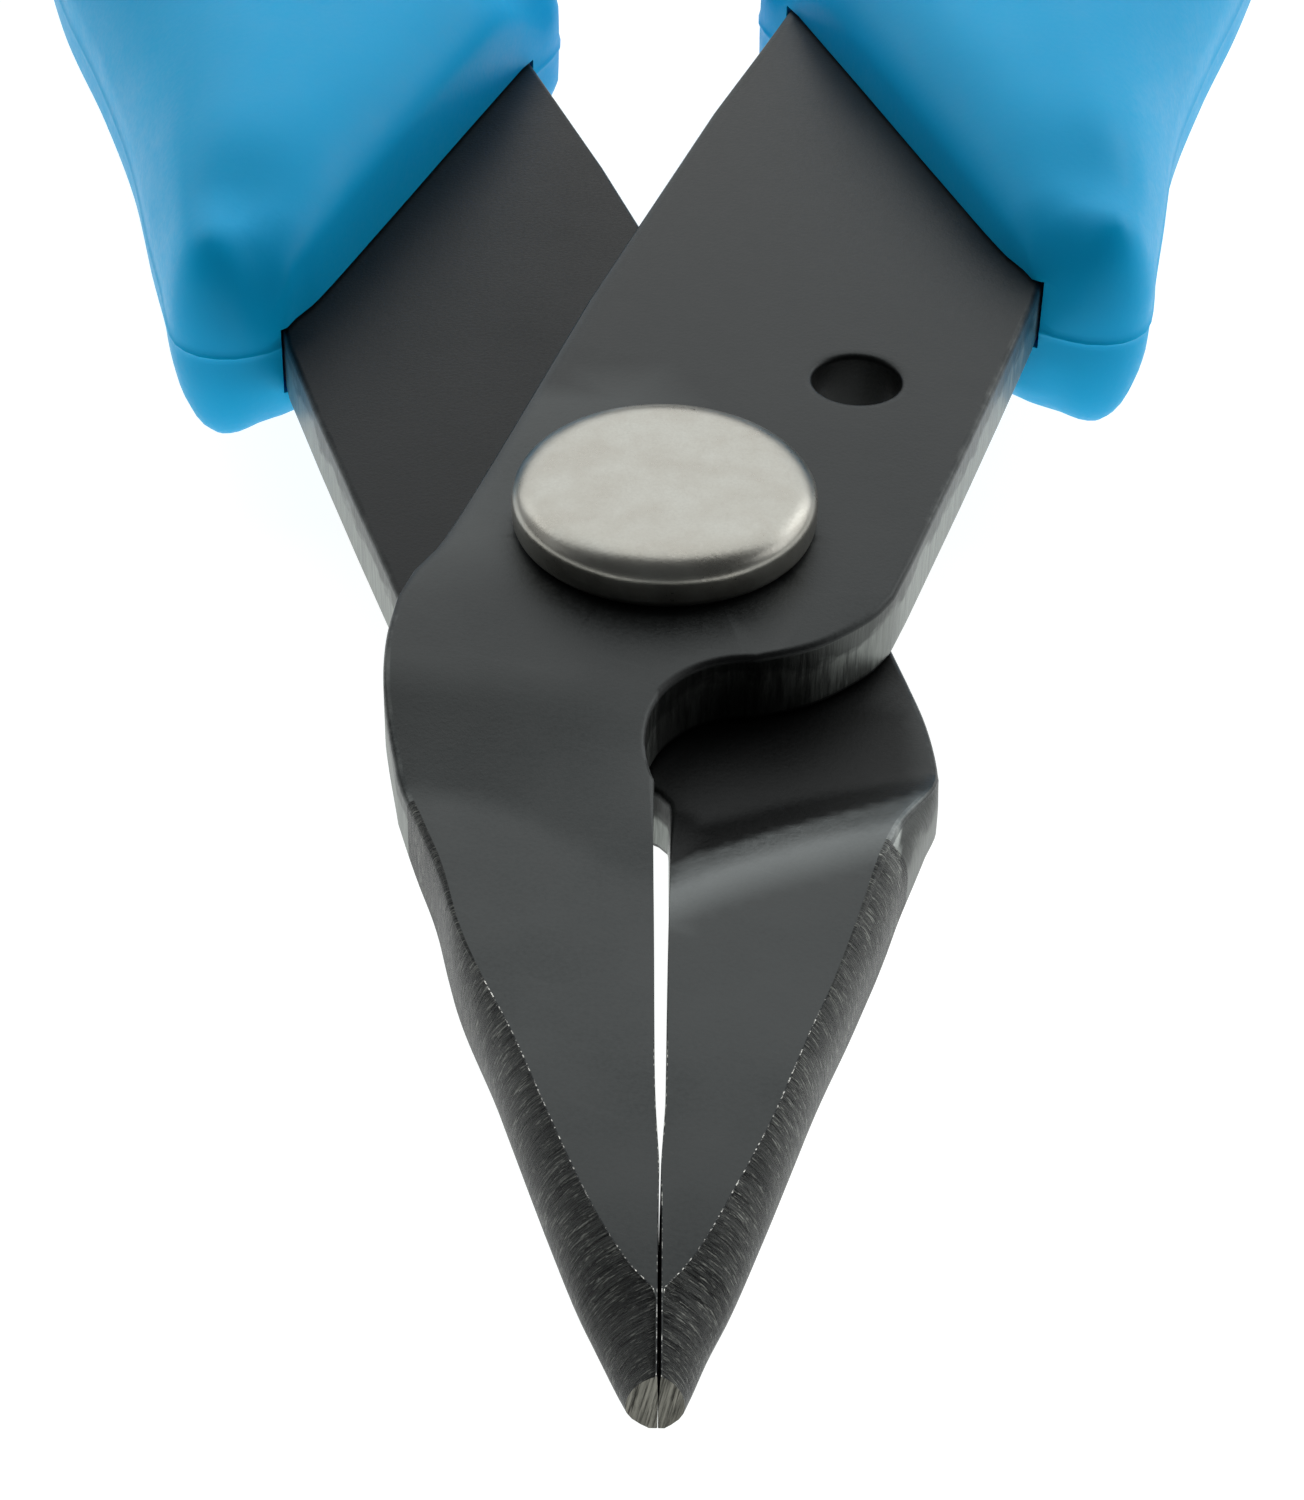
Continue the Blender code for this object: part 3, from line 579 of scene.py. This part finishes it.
def arm(name, materials, rub_z, lower):
    """One arm. It carries two values at each point: "wall", its height on the side, and "tone", its painted
    light and shade.
    """
    loops = [arm_loop(ARM_STEP, lower), circle((0, 0), BORE_R, 72)]
    if not lower:
        loops.append(circle(HOLE_C, HOLE_R, 64))
    rings, shares = arm_rings(loops, lower)
    verts, faces, place = slab(loops, rings, face_points(loops, lower), lambda at: rubbing_face(at, lower),
                               lambda at: outer_face(at, lower))
    slots = arm_slots(faces, place, loops, len(rings), lower)
    rubbing, outer = rubbing_face(verts[:, :2], lower), outer_face(verts[:, :2], lower)
    height = (verts[:, 2] - rubbing) / (outer - rubbing)
    tone = finish_tone(verts[:, 0], verts[:, 1], height, lower)
    wall = np.zeros(len(verts))
    total = sum(len(part) for part in loops)
    for k, share in enumerate(shares):
        wall[k * total:(k + 1) * total] = 1 - share if lower else share
    if lower:
        verts = verts * TURN_OVER
    obj = piece(name, verts, faces, materials, rub_z, slots, sharp=32.0)
    for attribute, values in (("wall", wall), ("tone", tone)):
        data = obj.data.attributes.new(attribute, "FLOAT", "POINT").data
        data.foreach_set("value", values.astype(np.float32))
    weigh_normals(obj)
    return obj


# ---- rivet

def rivet_half():
    """Radius and height of the upper half's outline, from under the head to the edge of its flat disc."""
    under, top = PLATE_T + HEAD_GAP, PLATE_T + HEAD_GAP + HEAD_T
    outline = [(SHANK_R, under)]
    for turn in np.radians(np.linspace(-90, 0, 6)):
        inset = HEAD_FOOT[0] * (1 - math.cos(turn))
        outline.append((HEAD_R - inset, under + HEAD_FOOT[1] * (1 + math.sin(turn))))
    for turn in np.radians(np.linspace(0, 90, 22)):
        inset = HEAD_RIM[0] * (1 - math.cos(turn))
        outline.append((HEAD_R - inset, top - HEAD_RIM[1] * (1 - math.sin(turn))))
    return outline + [(HEAD_R - HEAD_FLAT, top)]


def rivet(name, material, rub_z):
    """Two low heads, each a flat disc inside a broad rounded rim, on one shank."""
    half = rivet_half()
    top = half[-1][1]
    profile = [(r, -z) for r, z in reversed(half)] + half
    rows, count = len(profile), 128
    angle = np.linspace(0, 2 * math.pi, count, endpoint=False)
    verts = [np.column_stack([r * np.cos(angle), r * np.sin(angle), np.full(count, z)]) for r, z in profile]
    verts.append(np.array([(0, 0, -top), (0, 0, top)]))
    faces = []
    for row in range(rows - 1):
        for i in range(count):
            j = (i + 1) % count
            faces.append((row * count + i, row * count + j, (row + 1) * count + j, (row + 1) * count + i))
    for i in range(count):
        j = (i + 1) % count
        faces.append((rows * count, j, i))
        faces.append((rows * count + 1, (rows - 1) * count + i, (rows - 1) * count + j))
    return piece(name, np.vstack(verts), faces, [material], rub_z, sharp=50.0)


# ---- grips

def grip_half(points, outer, mouth):
    """Half thickness of a grip over its plan: a crowned pad, a lower front end, rounded edges."""
    x, y = points[:, 0], points[:, 1]
    crown, reach = smooth_interp(y, CROWN), smooth_interp(y, EDGE_REACH)
    off_x, off_y = (x - HOLLOW_C[0]) / HOLLOW_SIZE[0], (y - HOLLOW_C[1]) / HOLLOW_SIZE[1]
    hollow = HOLLOW_DEPTH * np.exp(-(off_x ** 2 + off_y ** 2))
    side = np.clip((distance(points, outer) + 0.03 * reach) / (1.03 * reach), 0, 1)
    front = np.clip(distance(points, mouth) / 3.2, 0, 1)
    rounded = (1 - (1 - side) ** 2.2) ** 0.5
    lip = (1 - (1 - front) ** 2.4) ** 0.6
    return (crown - hollow) * rounded * (0.57 + 0.43 * lip)


def pocket_cutter(name, rub_z, left):
    """The pocket for the tang: the arm's outline behind the grip's mouth, with a little room round it."""
    loop = arm_loop(0.9, left)
    grown = (loop - inward(loop) * FIT)[loop[:, 1] > 7]
    rings = [[np.column_stack([grown, np.full(len(grown), z)])] for z in (RUN_GAP - FIT, PLATE_T + FIT)]
    verts, faces, _ = slab([grown], rings, np.empty((0, 2)), None, None)
    return piece(name, verts, faces, [], rub_z)


def socket_cutter(name, rub_z, left):
    """The blind round socket for the spring's end, which is the same on both sides."""
    count = 24
    angle = np.linspace(0, 2 * math.pi, count, endpoint=False)
    y, z = SOCKET_Y + SOCKET_R * np.cos(angle), SOCKET_R * np.sin(angle)
    rings = [np.column_stack([np.full(count, x), y, z]) for x in (11.0, 15.5)]
    faces = [(i, (i + 1) % count, count + (i + 1) % count, count + i) for i in range(count)]
    faces += [tuple(range(count - 1, -1, -1)), tuple(range(count, 2 * count))]
    return piece(name, np.vstack(rings), faces, [], rub_z)


def thinned(groups, loop):
    """The points that have room beside those already kept. They need more room further from the loop."""
    kept = np.empty((0, 2))
    for group in groups:
        for point, away in zip(group, edge_distance(group, loop)):
            room = 0.03 + 0.14 * min(4.5, away)
            if not len(kept) or np.hypot(*(kept - point).T).min() > room:
                kept = np.vstack([kept, point])
    return kept


def pad_points(loop):
    """Points on a grip's two pads, in rows along its outline where they curve, and in a lattice inside."""
    normal = inward(loop)
    groups = []
    for inset in PAD_ROWS:
        row = loop + normal * inset
        groups.append(row[inside(row, loop) & (edge_distance(row, loop) > inset * 0.97)])
    groups.append(lattice([loop], 0.95, PAD_ROWS[-1] + 0.6))
    return thinned(groups, loop)


def turn_over(mesh, rub_z):
    """Turns a finished mesh over, about the Y direction in the rubbing plane."""
    up, down = Matrix.Translation((0, 0, rub_z * MM)), Matrix.Translation((0, 0, -rub_z * MM))
    mesh.transform(up @ Matrix.Rotation(math.pi, 4, "Y") @ down)


def cut(obj, tool):
    modifier = obj.modifiers.new("cut", "BOOLEAN")
    modifier.operation, modifier.solver, modifier.object = "DIFFERENCE", "EXACT", tool
    apply_modifiers(obj)
    bpy.data.objects.remove(tool)


def grip(name, material, rub_z, left):
    """One grip: two crowned pads, a moulding line round the wall, the tang's pocket, the spring's socket."""
    outside = pushed(GRIP_OUTER, PUSH_GRIP_LEFT if left else PUSH_GRIP_RIGHT)
    inner_push = NO_PUSH if left else PUSH_MOUTH_RIGHT
    outer = np.array(spline(outside + pushed(GRIP_INNER, inner_push), GRIP_STEP))
    mouth = np.array(spline(pushed(MOUTH, inner_push), GRIP_STEP))
    loop = np.vstack([outer, mouth])
    normal, edge = inward(loop), grip_half(loop, outer, mouth)
    rings = []
    for share, out in MOULDING_LINE:
        at = loop - normal * (FLASH * out + WALL_BULGE * (1 - share * share))
        z = GRIP_Z + np.sign(share) * np.minimum(abs(share) * np.maximum(edge, 0.5), edge)
        rings.append([np.column_stack([at, z])])
    verts, faces, _ = slab([loop], rings, pad_points(loop), lambda at: GRIP_Z - grip_half(at, outer, mouth),
                           lambda at: GRIP_Z + grip_half(at, outer, mouth))
    if left:
        verts = verts * TURN_OVER
    obj = piece(name, verts, faces, [material], rub_z, sharp=55.0)
    for make in (pocket_cutter, socket_cutter):
        tool = make(name + "." + make.__name__, rub_z, left)
        if left:
            turn_over(tool.data, rub_z)
        cut(obj, tool)
    obj.data.shade_smooth()
    obj.data.set_sharp_from_angle(angle=math.radians(50))
    return obj


# ---- spring

def spring(name, material, rub_z):
    """A round wire along the hairpin's path, with both ends chamfered."""
    right = spline(SPRING, SPRING_STEP)
    path = np.array([np.array([-p[0], p[1]]) for p in reversed(right[1:])] + right)
    along = np.gradient(path, axis=0)
    along /= np.linalg.norm(along, axis=1)[:, None]
    across = np.column_stack([along[:, 1], -along[:, 0]])
    chamfer = along * (WIRE_R * 0.25)
    rings = [(path[0] - chamfer[0], across[0], WIRE_R * 0.75)]
    rings += [(centre, side, WIRE_R) for centre, side in zip(path, across)]
    rings.append((path[-1] + chamfer[-1], across[-1], WIRE_R * 0.75))
    count = 28
    angle = np.linspace(0, 2 * math.pi, count, endpoint=False)
    verts, faces = [], []
    for centre, side, radius in rings:
        verts.append(np.column_stack([centre[0] + radius * np.cos(angle) * side[0],
                                      centre[1] + radius * np.cos(angle) * side[1],
                                      radius * np.sin(angle)]))
    for k in range(len(verts) - 1):
        for i in range(count):
            j = (i + 1) % count
            faces.append((k * count + j, k * count + i, (k + 1) * count + i, (k + 1) * count + j))
    faces.append(tuple(range(count)))
    faces.append(tuple(range(len(verts) * count - 1, (len(verts) - 1) * count - 1, -1)))
    return piece(name, np.vstack(verts), faces, [material], rub_z)


# ---- materials

class Nodes:
    """A small helper that writes a material's node tree."""

    def __init__(self, name, colour, metallic, roughness):
        self.material = bpy.data.materials.new(name)
        self.material.use_nodes = True
        self.tree = self.material.node_tree
        self.shader = self.tree.nodes["Principled BSDF"]
        self.shader.inputs["Base Color"].default_value = (*colour, 1)
        self.shader.inputs["Metallic"].default_value = metallic
        self.shader.inputs["Roughness"].default_value = roughness
        self.place = self.add("ShaderNodeTexCoord").outputs["Object"]

    def add(self, kind, **settings):
        node = self.tree.nodes.new(kind)
        for key, value in settings.items():
            setattr(node, key, value)
        return node

    def link(self, source, target):
        self.tree.links.new(source, target)

    def scaled(self, scale, turn=(0, 0, 0)):
        """Object coordinates turned, then scaled to so many features per millimetre along each axis."""
        first = self.add("ShaderNodeMapping")
        first.inputs["Rotation"].default_value = [math.radians(t) for t in turn]
        self.link(self.place, first.inputs["Vector"])
        second = self.add("ShaderNodeMapping")
        second.inputs["Scale"].default_value = [s / MM for s in scale]
        self.link(first.outputs["Vector"], second.inputs["Vector"])
        return second.outputs["Vector"]

    def noise(self, vector, detail=3.0, rough=0.55, distortion=0.0):
        node = self.add("ShaderNodeTexNoise")
        node.inputs["Scale"].default_value = 1.0
        node.inputs["Detail"].default_value = detail
        node.inputs["Roughness"].default_value = rough
        node.inputs["Distortion"].default_value = distortion
        self.link(vector, node.inputs["Vector"])
        return node.outputs["Fac"]

    def spread(self, value, low, high, to_low=0.0, to_high=1.0):
        """The value with its range from low to high stretched to another range."""
        node = self.add("ShaderNodeMapRange")
        for key, number in (("From Min", low), ("From Max", high), ("To Min", to_low), ("To Max", to_high)):
            node.inputs[key].default_value = number
        self.link(value, node.inputs["Value"])
        return node.outputs["Result"]

    def math(self, operation, a, b):
        node = self.add("ShaderNodeMath", operation=operation)
        for socket, value in zip(node.inputs, (a, b)):
            if isinstance(value, (int, float)):
                socket.default_value = value
            else:
                self.link(value, socket)
        return node.outputs["Value"]

    def mix(self, factor, a, b):
        """A colour between a and b, each a colour or another node's output."""
        node = self.add("ShaderNodeMix", data_type="RGBA")
        self.link(factor, node.inputs["Factor"])
        for socket, value in ((node.inputs[6], a), (node.inputs[7], b)):
            if isinstance(value, tuple):
                socket.default_value = (*value, 1)
            else:
                self.link(value, socket)
        return node.outputs[2]

    def toned(self, colour):
        """The colour made lighter or darker by the painted light and shade in the mesh's "tone"."""
        node = self.add("ShaderNodeVectorMath", operation="SCALE")
        self.link(colour, node.inputs["Vector"])
        self.link(self.add("ShaderNodeAttribute", attribute_name="tone").outputs["Fac"], node.inputs["Scale"])
        return node.outputs["Vector"]

    def bump(self, height, depth_mm, strength=1.0, under=None):
        node = self.add("ShaderNodeBump")
        node.inputs["Strength"].default_value = strength
        node.inputs["Distance"].default_value = depth_mm * MM
        self.link(height, node.inputs["Height"])
        if under is not None:
            self.link(under, node.inputs["Normal"])
        return node.outputs["Normal"]

    def finish(self, colour, roughness, normal):
        """Links the three to the shader and gives the finished material."""
        for value, socket in ((colour, "Base Color"), (roughness, "Roughness"), (normal, "Normal")):
            self.link(value, self.shader.inputs[socket])
        return self.material


def blackened_steel():
    """Dark satin steel: cloudy tone, fine blasted grain and a few faint rubs."""
    n = Nodes("blackened_steel", (0.07, 0.075, 0.077), 0.8, 0.42)
    cloud = n.noise(n.scaled((0.22, 0.22, 0.22)), detail=4)
    grain = n.noise(n.scaled((9, 9, 9)), detail=3, rough=0.7)
    rub = n.noise(n.scaled((0.35, 6.0, 1.0), (0, 0, 24)), detail=4, rough=0.6)
    pale = (0.0437, 0.047, 0.0467)
    tone = n.mix(n.spread(cloud, 0.35, 0.65), (0.028, 0.031, 0.031), pale)
    tone = n.mix(n.spread(grain, 0.3, 0.75, 0.0, 0.35), tone, tuple(1.7 * c for c in pale))
    tone = n.mix(n.spread(rub, 0.6, 0.8, 0.0, 0.25), tone, tuple(1.5 * c for c in pale))
    rough = n.math("ADD", n.spread(grain, 0.3, 0.7, 0.36, 0.48), n.spread(cloud, 0.3, 0.7, -0.04, 0.04))
    normal = n.bump(grain, 0.012, 0.55)
    normal = n.bump(cloud, 0.10, 0.25, normal)
    return n.finish(n.toned(tone), rough, normal)


def worn_edge():
    """The rounded edges of the stampings, where the black has rubbed thin and a painted highlight makes them
    lighter.
    """
    n = Nodes("worn_edge", (0.13, 0.135, 0.135), 0.9, 0.38)
    patch = n.noise(n.scaled((1.4, 1.4, 1.4)), detail=5, rough=0.65)
    grain = n.noise(n.scaled((12, 12, 12)), detail=2)
    tone = n.mix(n.spread(patch, 0.4, 0.68), (0.04, 0.044, 0.044), (0.085, 0.09, 0.088))
    return n.finish(n.toned(tone), n.spread(grain, 0.3, 0.7, 0.32, 0.46), n.bump(grain, 0.01, 0.5))


def ground_bevel(name, lean, bevel_painted_shade):
    """The ground bevel of a jaw: dark with painted shade, with grinding marks that lean by some degrees and
    carry painted glints.
    """
    n = Nodes(name, (0.1, 0.1, 0.1), 1.0, 0.36)
    patch = n.noise(n.scaled((0.7, 0.7, 0.7)), detail=2)
    fine = n.noise(n.scaled((1.3, 14.0, 1.2), (0, 0, lean)), detail=5, rough=0.75, distortion=0.08)
    coarse = n.noise(n.scaled((0.8, 6.0, 0.7), (0, 0, lean)), detail=3, rough=0.6, distortion=0.1)
    glint = n.noise(n.scaled((2.6, 20.0, 2.4), (0, 0, lean)), detail=3, rough=0.75)
    cut = n.math("ADD", n.math("MULTIPLY", fine, 0.7), n.math("MULTIPLY", coarse, 0.3))
    # the last argument darkens the bevel as painted shade; the bright colour is the painted glints
    ridge, painted_glint_colour = (tuple(bevel_painted_shade * c for c in colour) for colour in ((0.08, 0.083, 0.08), (0.32, 0.33, 0.3)))
    tone = n.mix(n.spread(cut, 0.4, 0.58), (0.008, 0.0085, 0.009), ridge)
    tone = n.mix(n.spread(glint, 0.56, 0.66, 0.0, 0.85), tone, painted_glint_colour)
    tone = n.mix(n.spread(patch, 0.4, 0.65, 0.0, 0.35), tone, (0.02, 0.0215, 0.0215))
    normal = n.bump(cut, 0.08, 0.95)
    normal = n.bump(glint, 0.02, 0.6, normal)
    return n.finish(n.toned(tone), n.spread(fine, 0.3, 0.7, 0.3, 0.5), normal)


def bright_burr():
    """The burr where a ground bevel meets a face: mostly dark, broken into bright specks of painted glint."""
    n = Nodes("bright_burr", (0.2, 0.2, 0.2), 1.0, 0.25)
    speck = n.noise(n.scaled((7.0, 9.0, 7.0)), detail=3, rough=0.7)
    tone = n.mix(n.spread(speck, 0.52, 0.63), (0.03, 0.032, 0.033), (0.62, 0.62, 0.58))
    return n.finish(tone, n.spread(speck, 0.4, 0.7, 0.45, 0.22), n.bump(speck, 0.05, 0.9))


def fresh_facet():
    """The blunt end of the jaws: bright, with straight grinding lines."""
    n = Nodes("fresh_facet", (0.13, 0.13, 0.115), 1.0, 0.34)
    lines = n.noise(n.scaled((19.0, 2.0, 0.7), (0, -10, 0)), detail=5, rough=0.72)
    broad = n.noise(n.scaled((5.0, 1.0, 0.6), (0, -10, 0)), detail=2)
    tone = n.mix(n.spread(lines, 0.4, 0.6), (0.02, 0.0195, 0.016), (0.2, 0.195, 0.168))
    tone = n.mix(n.spread(broad, 0.4, 0.6, 0.0, 0.35), tone, (0.07, 0.069, 0.058))
    return n.finish(tone, n.spread(lines, 0.3, 0.7, 0.28, 0.46), n.bump(lines, 0.03, 0.8))


def sheared_side():
    """The sheared sides of the stampings: bare, greyish green, with upright drag marks and a torn band."""
    n = Nodes("sheared_side", (0.2, 0.215, 0.2), 1.0, 0.42)
    drag = n.noise(n.scaled((6.0, 6.0, 0.6)), detail=4, rough=0.7)
    patch = n.noise(n.scaled((0.8, 0.8, 1.5)), detail=4)
    wall = n.add("ShaderNodeAttribute", attribute_name="wall").outputs["Fac"]
    torn = n.math("ADD", wall, n.math("MULTIPLY", patch, 0.9))
    tone = n.mix(n.spread(drag, 0.35, 0.65), (0.14, 0.15, 0.142), (0.3, 0.32, 0.3))
    tone = n.mix(n.spread(torn, 1.05, 1.2, 0.0, 0.8), tone, (0.06, 0.064, 0.062))
    return n.finish(n.toned(tone), n.spread(drag, 0.3, 0.7, 0.34, 0.52), n.bump(drag, 0.03, 0.6))


def rivet_steel():
    """Plated rivet: warm satin silver, finely grained and faintly mottled."""
    n = Nodes("rivet_steel", (0.6, 0.58, 0.53), 1.0, 0.3)
    mottle = n.noise(n.scaled((0.75, 0.75, 0.75)), detail=4, rough=0.6)
    grain = n.noise(n.scaled((14, 14, 14)), detail=3, rough=0.7)
    tone = n.mix(n.spread(mottle, 0.36, 0.64), (0.32, 0.31, 0.277), (0.37, 0.367, 0.335))
    tone = n.mix(n.spread(grain, 0.4, 0.8, 0.0, 0.3), tone, (0.26, 0.25, 0.22))
    rough = n.math("ADD", n.spread(mottle, 0.3, 0.7, 0.27, 0.35), n.spread(grain, 0.3, 0.7, -0.03, 0.05))
    normal = n.bump(grain, 0.006, 0.5)
    normal = n.bump(mottle, 0.05, 0.2, normal)
    return n.finish(tone, rough, normal)


def soft_grip():
    """Soft moulded rubber: saturated blue, finely pebbled, with slow changes in tone and a little polish."""
    n = Nodes("soft_grip", (0.02, 0.27, 0.52), 0.0, 0.46)
    cloud = n.noise(n.scaled((0.09, 0.06, 0.09)), detail=3)
    pebble = n.noise(n.scaled((5.5, 5.5, 5.5)), detail=2, rough=0.5)
    dust = n.noise(n.scaled((0.8, 0.5, 0.8)), detail=5, rough=0.7)
    n.shader.inputs["Specular IOR Level"].default_value = 0.14
    tone = n.mix(n.spread(cloud, 0.35, 0.65), (0.0, 0.385, 0.74), (0.001, 0.42, 0.79))
    tone = n.mix(n.spread(dust, 0.58, 0.8, 0.0, 0.1), tone, (0.03, 0.48, 0.82))
    rough = n.math("ADD", n.spread(pebble, 0.3, 0.7, 0.4, 0.5), n.spread(dust, 0.35, 0.7, -0.05, 0.06))
    normal = n.bump(pebble, 0.012, 0.35)
    n.shader.inputs["Subsurface Weight"].default_value = 0.12
    n.shader.inputs["Subsurface Radius"].default_value = (0.0004, 0.0009, 0.0014)
    n.shader.inputs["Subsurface Scale"].default_value = 1.0
    return n.finish(tone, rough, normal)


def drawn_wire():
    """Drawn spring wire: bright, with fine marks along it and a straw tint."""
    n = Nodes("drawn_wire", (0.45, 0.44, 0.41), 1.0, 0.26)
    marks = n.noise(n.scaled((9.0, 1.2, 9.0)), detail=4, rough=0.65)
    tint = n.noise(n.scaled((0.25, 0.25, 0.25)), detail=2)
    tone = n.mix(n.spread(marks, 0.35, 0.65), (0.3, 0.295, 0.275), (0.52, 0.51, 0.48))
    tone = n.mix(n.spread(tint, 0.45, 0.65, 0.0, 0.3), tone, (0.4, 0.36, 0.28))
    return n.finish(tone, n.spread(marks, 0.3, 0.7, 0.22, 0.36), n.bump(marks, 0.008, 0.5))


# ---- stage

def stage(floor_z):
    """A white table that glows softly, so that it stays white round the tool."""
    half = 3.0
    mesh = bpy.data.meshes.new("floor")
    corners = [(-half, -half, 0), (half, -half, 0), (half, half, 0), (-half, half, 0)]
    mesh.from_pydata(corners, [], [(0, 1, 2, 3)])
    floor = bpy.data.objects.new("floor", mesh)
    bpy.context.scene.collection.objects.link(floor)
    floor.location.z = floor_z
    paint = bpy.data.materials.new("white_table")
    paint.use_nodes = True
    shader = paint.node_tree.nodes["Principled BSDF"]
    shader.inputs["Base Color"].default_value = (0.3, 0.3, 0.3, 1)
    shader.inputs["Roughness"].default_value = 0.9
    shader.inputs["Emission Color"].default_value = TABLE_WHITE
    shader.inputs["Emission Strength"].default_value = 0.95
    mesh.materials.append(paint)


def area_light(name, at, aim, size, radiance, colour=(1, 1, 1)):
    """A soft box of the given brightness, whatever its size."""
    data = bpy.data.lights.new(name, "AREA")
    data.shape = "RECTANGLE"
    data.size, data.size_y = size
    data.energy = radiance * math.pi * size[0] * size[1]
    data.color = colour
    lamp = bpy.data.objects.new(name, data)
    bpy.context.scene.collection.objects.link(lamp)
    lamp.location = at
    lamp.rotation_euler = (Vector(aim) - Vector(at)).to_track_quat("-Z", "Y").to_euler()


def lights(centre):
    """A large light above the handles and one at each side, aimed at the centre. Distances in metres."""
    x, y, z = centre
    area_light("back_top", (x, y + 0.5, z + 0.56), centre, (2.0, 1.0), 1.55, (0.99, 1.0, 1.0))
    area_light("left", (x - 0.8, y + 0.25, z + 0.35), centre, (0.9, 0.5), 0.45)
    area_light("right", (x + 0.8, y + 0.25, z + 0.35), centre, (0.9, 0.5), 1.8)
    bpy.context.scene.view_settings.view_transform = "Standard"
    bpy.context.scene.view_settings.look = "None"


def surroundings():
    """A dim even light from all round. Seen directly, past the table's edge, it is as pale as the table."""
    world = bpy.data.worlds.new("studio")
    world.use_nodes = True
    tree = world.node_tree
    dim = tree.nodes["Background"]
    dim.inputs["Color"].default_value = (0.93, 0.97, 1.0, 1)
    dim.inputs["Strength"].default_value = 0.09
    pale = tree.nodes.new("ShaderNodeBackground")
    pale.inputs["Color"].default_value = TABLE_WHITE
    ray = tree.nodes.new("ShaderNodeLightPath")
    pick = tree.nodes.new("ShaderNodeMixShader")
    tree.links.new(ray.outputs["Is Camera Ray"], pick.inputs[0])
    tree.links.new(dim.outputs[0], pick.inputs[1])
    tree.links.new(pale.outputs[0], pick.inputs[2])
    tree.links.new(pick.outputs[0], tree.nodes["World Output"].inputs["Surface"])
    bpy.context.scene.world = world


def camera(rub_z):
    """A view down at the jaws from in front of the tip."""
    down, roll, yaw = (math.radians(a) for a in (CAMERA_DOWN, CAMERA_ROLL, CAMERA_YAW))
    data = bpy.data.cameras.new("camera")
    data.sensor_width = 36.0
    data.lens = LENS
    data.clip_start = 0.002
    data.clip_end = 20.0
    obj = bpy.data.objects.new("camera", data)
    bpy.context.scene.collection.objects.link(obj)
    turn = Matrix.Rotation(-yaw, 4, "Z") @ Matrix.Rotation(math.pi / 2 - down, 4, "X")
    turn = turn @ Matrix.Rotation(roll, 4, "Z")
    x, y, z = CAMERA_AT
    obj.matrix_world = Matrix.Translation(Vector((x, y, z + rub_z)) * MM) @ turn
    bpy.context.scene.camera = obj


def main():
    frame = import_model()
    rub_z = frame["record"]["behaviour"]["joints"][0]["pos_m"][2] / MM
    upper, lower = "upper_body", "lower_body"
    face, facet, side = blackened_steel(), fresh_facet(), sheared_side()
    edge, burr = worn_edge(), bright_burr()
    left_jaw = [face, ground_bevel("ground_bevel_upper", -18, 0.78), facet, side, edge, burr]
    right_jaw = [face, ground_bevel("ground_bevel_lower", 18, 1.0), facet, side, edge, burr]
    rubber = soft_grip()
    pieces = [
        (arm("upper_arm_fine", left_jaw, rub_z, lower=False), "upper_arm", upper, "dark_steel"),
        (arm("lower_arm_fine", right_jaw, rub_z, lower=True), "lower_arm", lower, "dark_steel"),
        (rivet("pivot_rivet_fine", rivet_steel(), rub_z), "pivot_rivet", upper, "rivet_steel"),
        (grip("right_grip_fine", rubber, rub_z, left=False), "right_grip", upper, "blue_grip"),
        (grip("left_grip_fine", rubber, rub_z, left=True), "left_grip", lower, "blue_grip"),
    ]
    for obj, node, body, slot in pieces:
        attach(obj, body)
        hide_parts(node)
    wire = spring("return_spring_fine", drawn_wire(), rub_z)
    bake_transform(wire)
    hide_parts("return_spring")
    bottom = min(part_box(node)[0].z for node in ("right_grip", "left_grip"))
    stage(bottom)
    lights((0, 0.01, rub_z * MM))
    surroundings()
    camera(rub_z)


main()
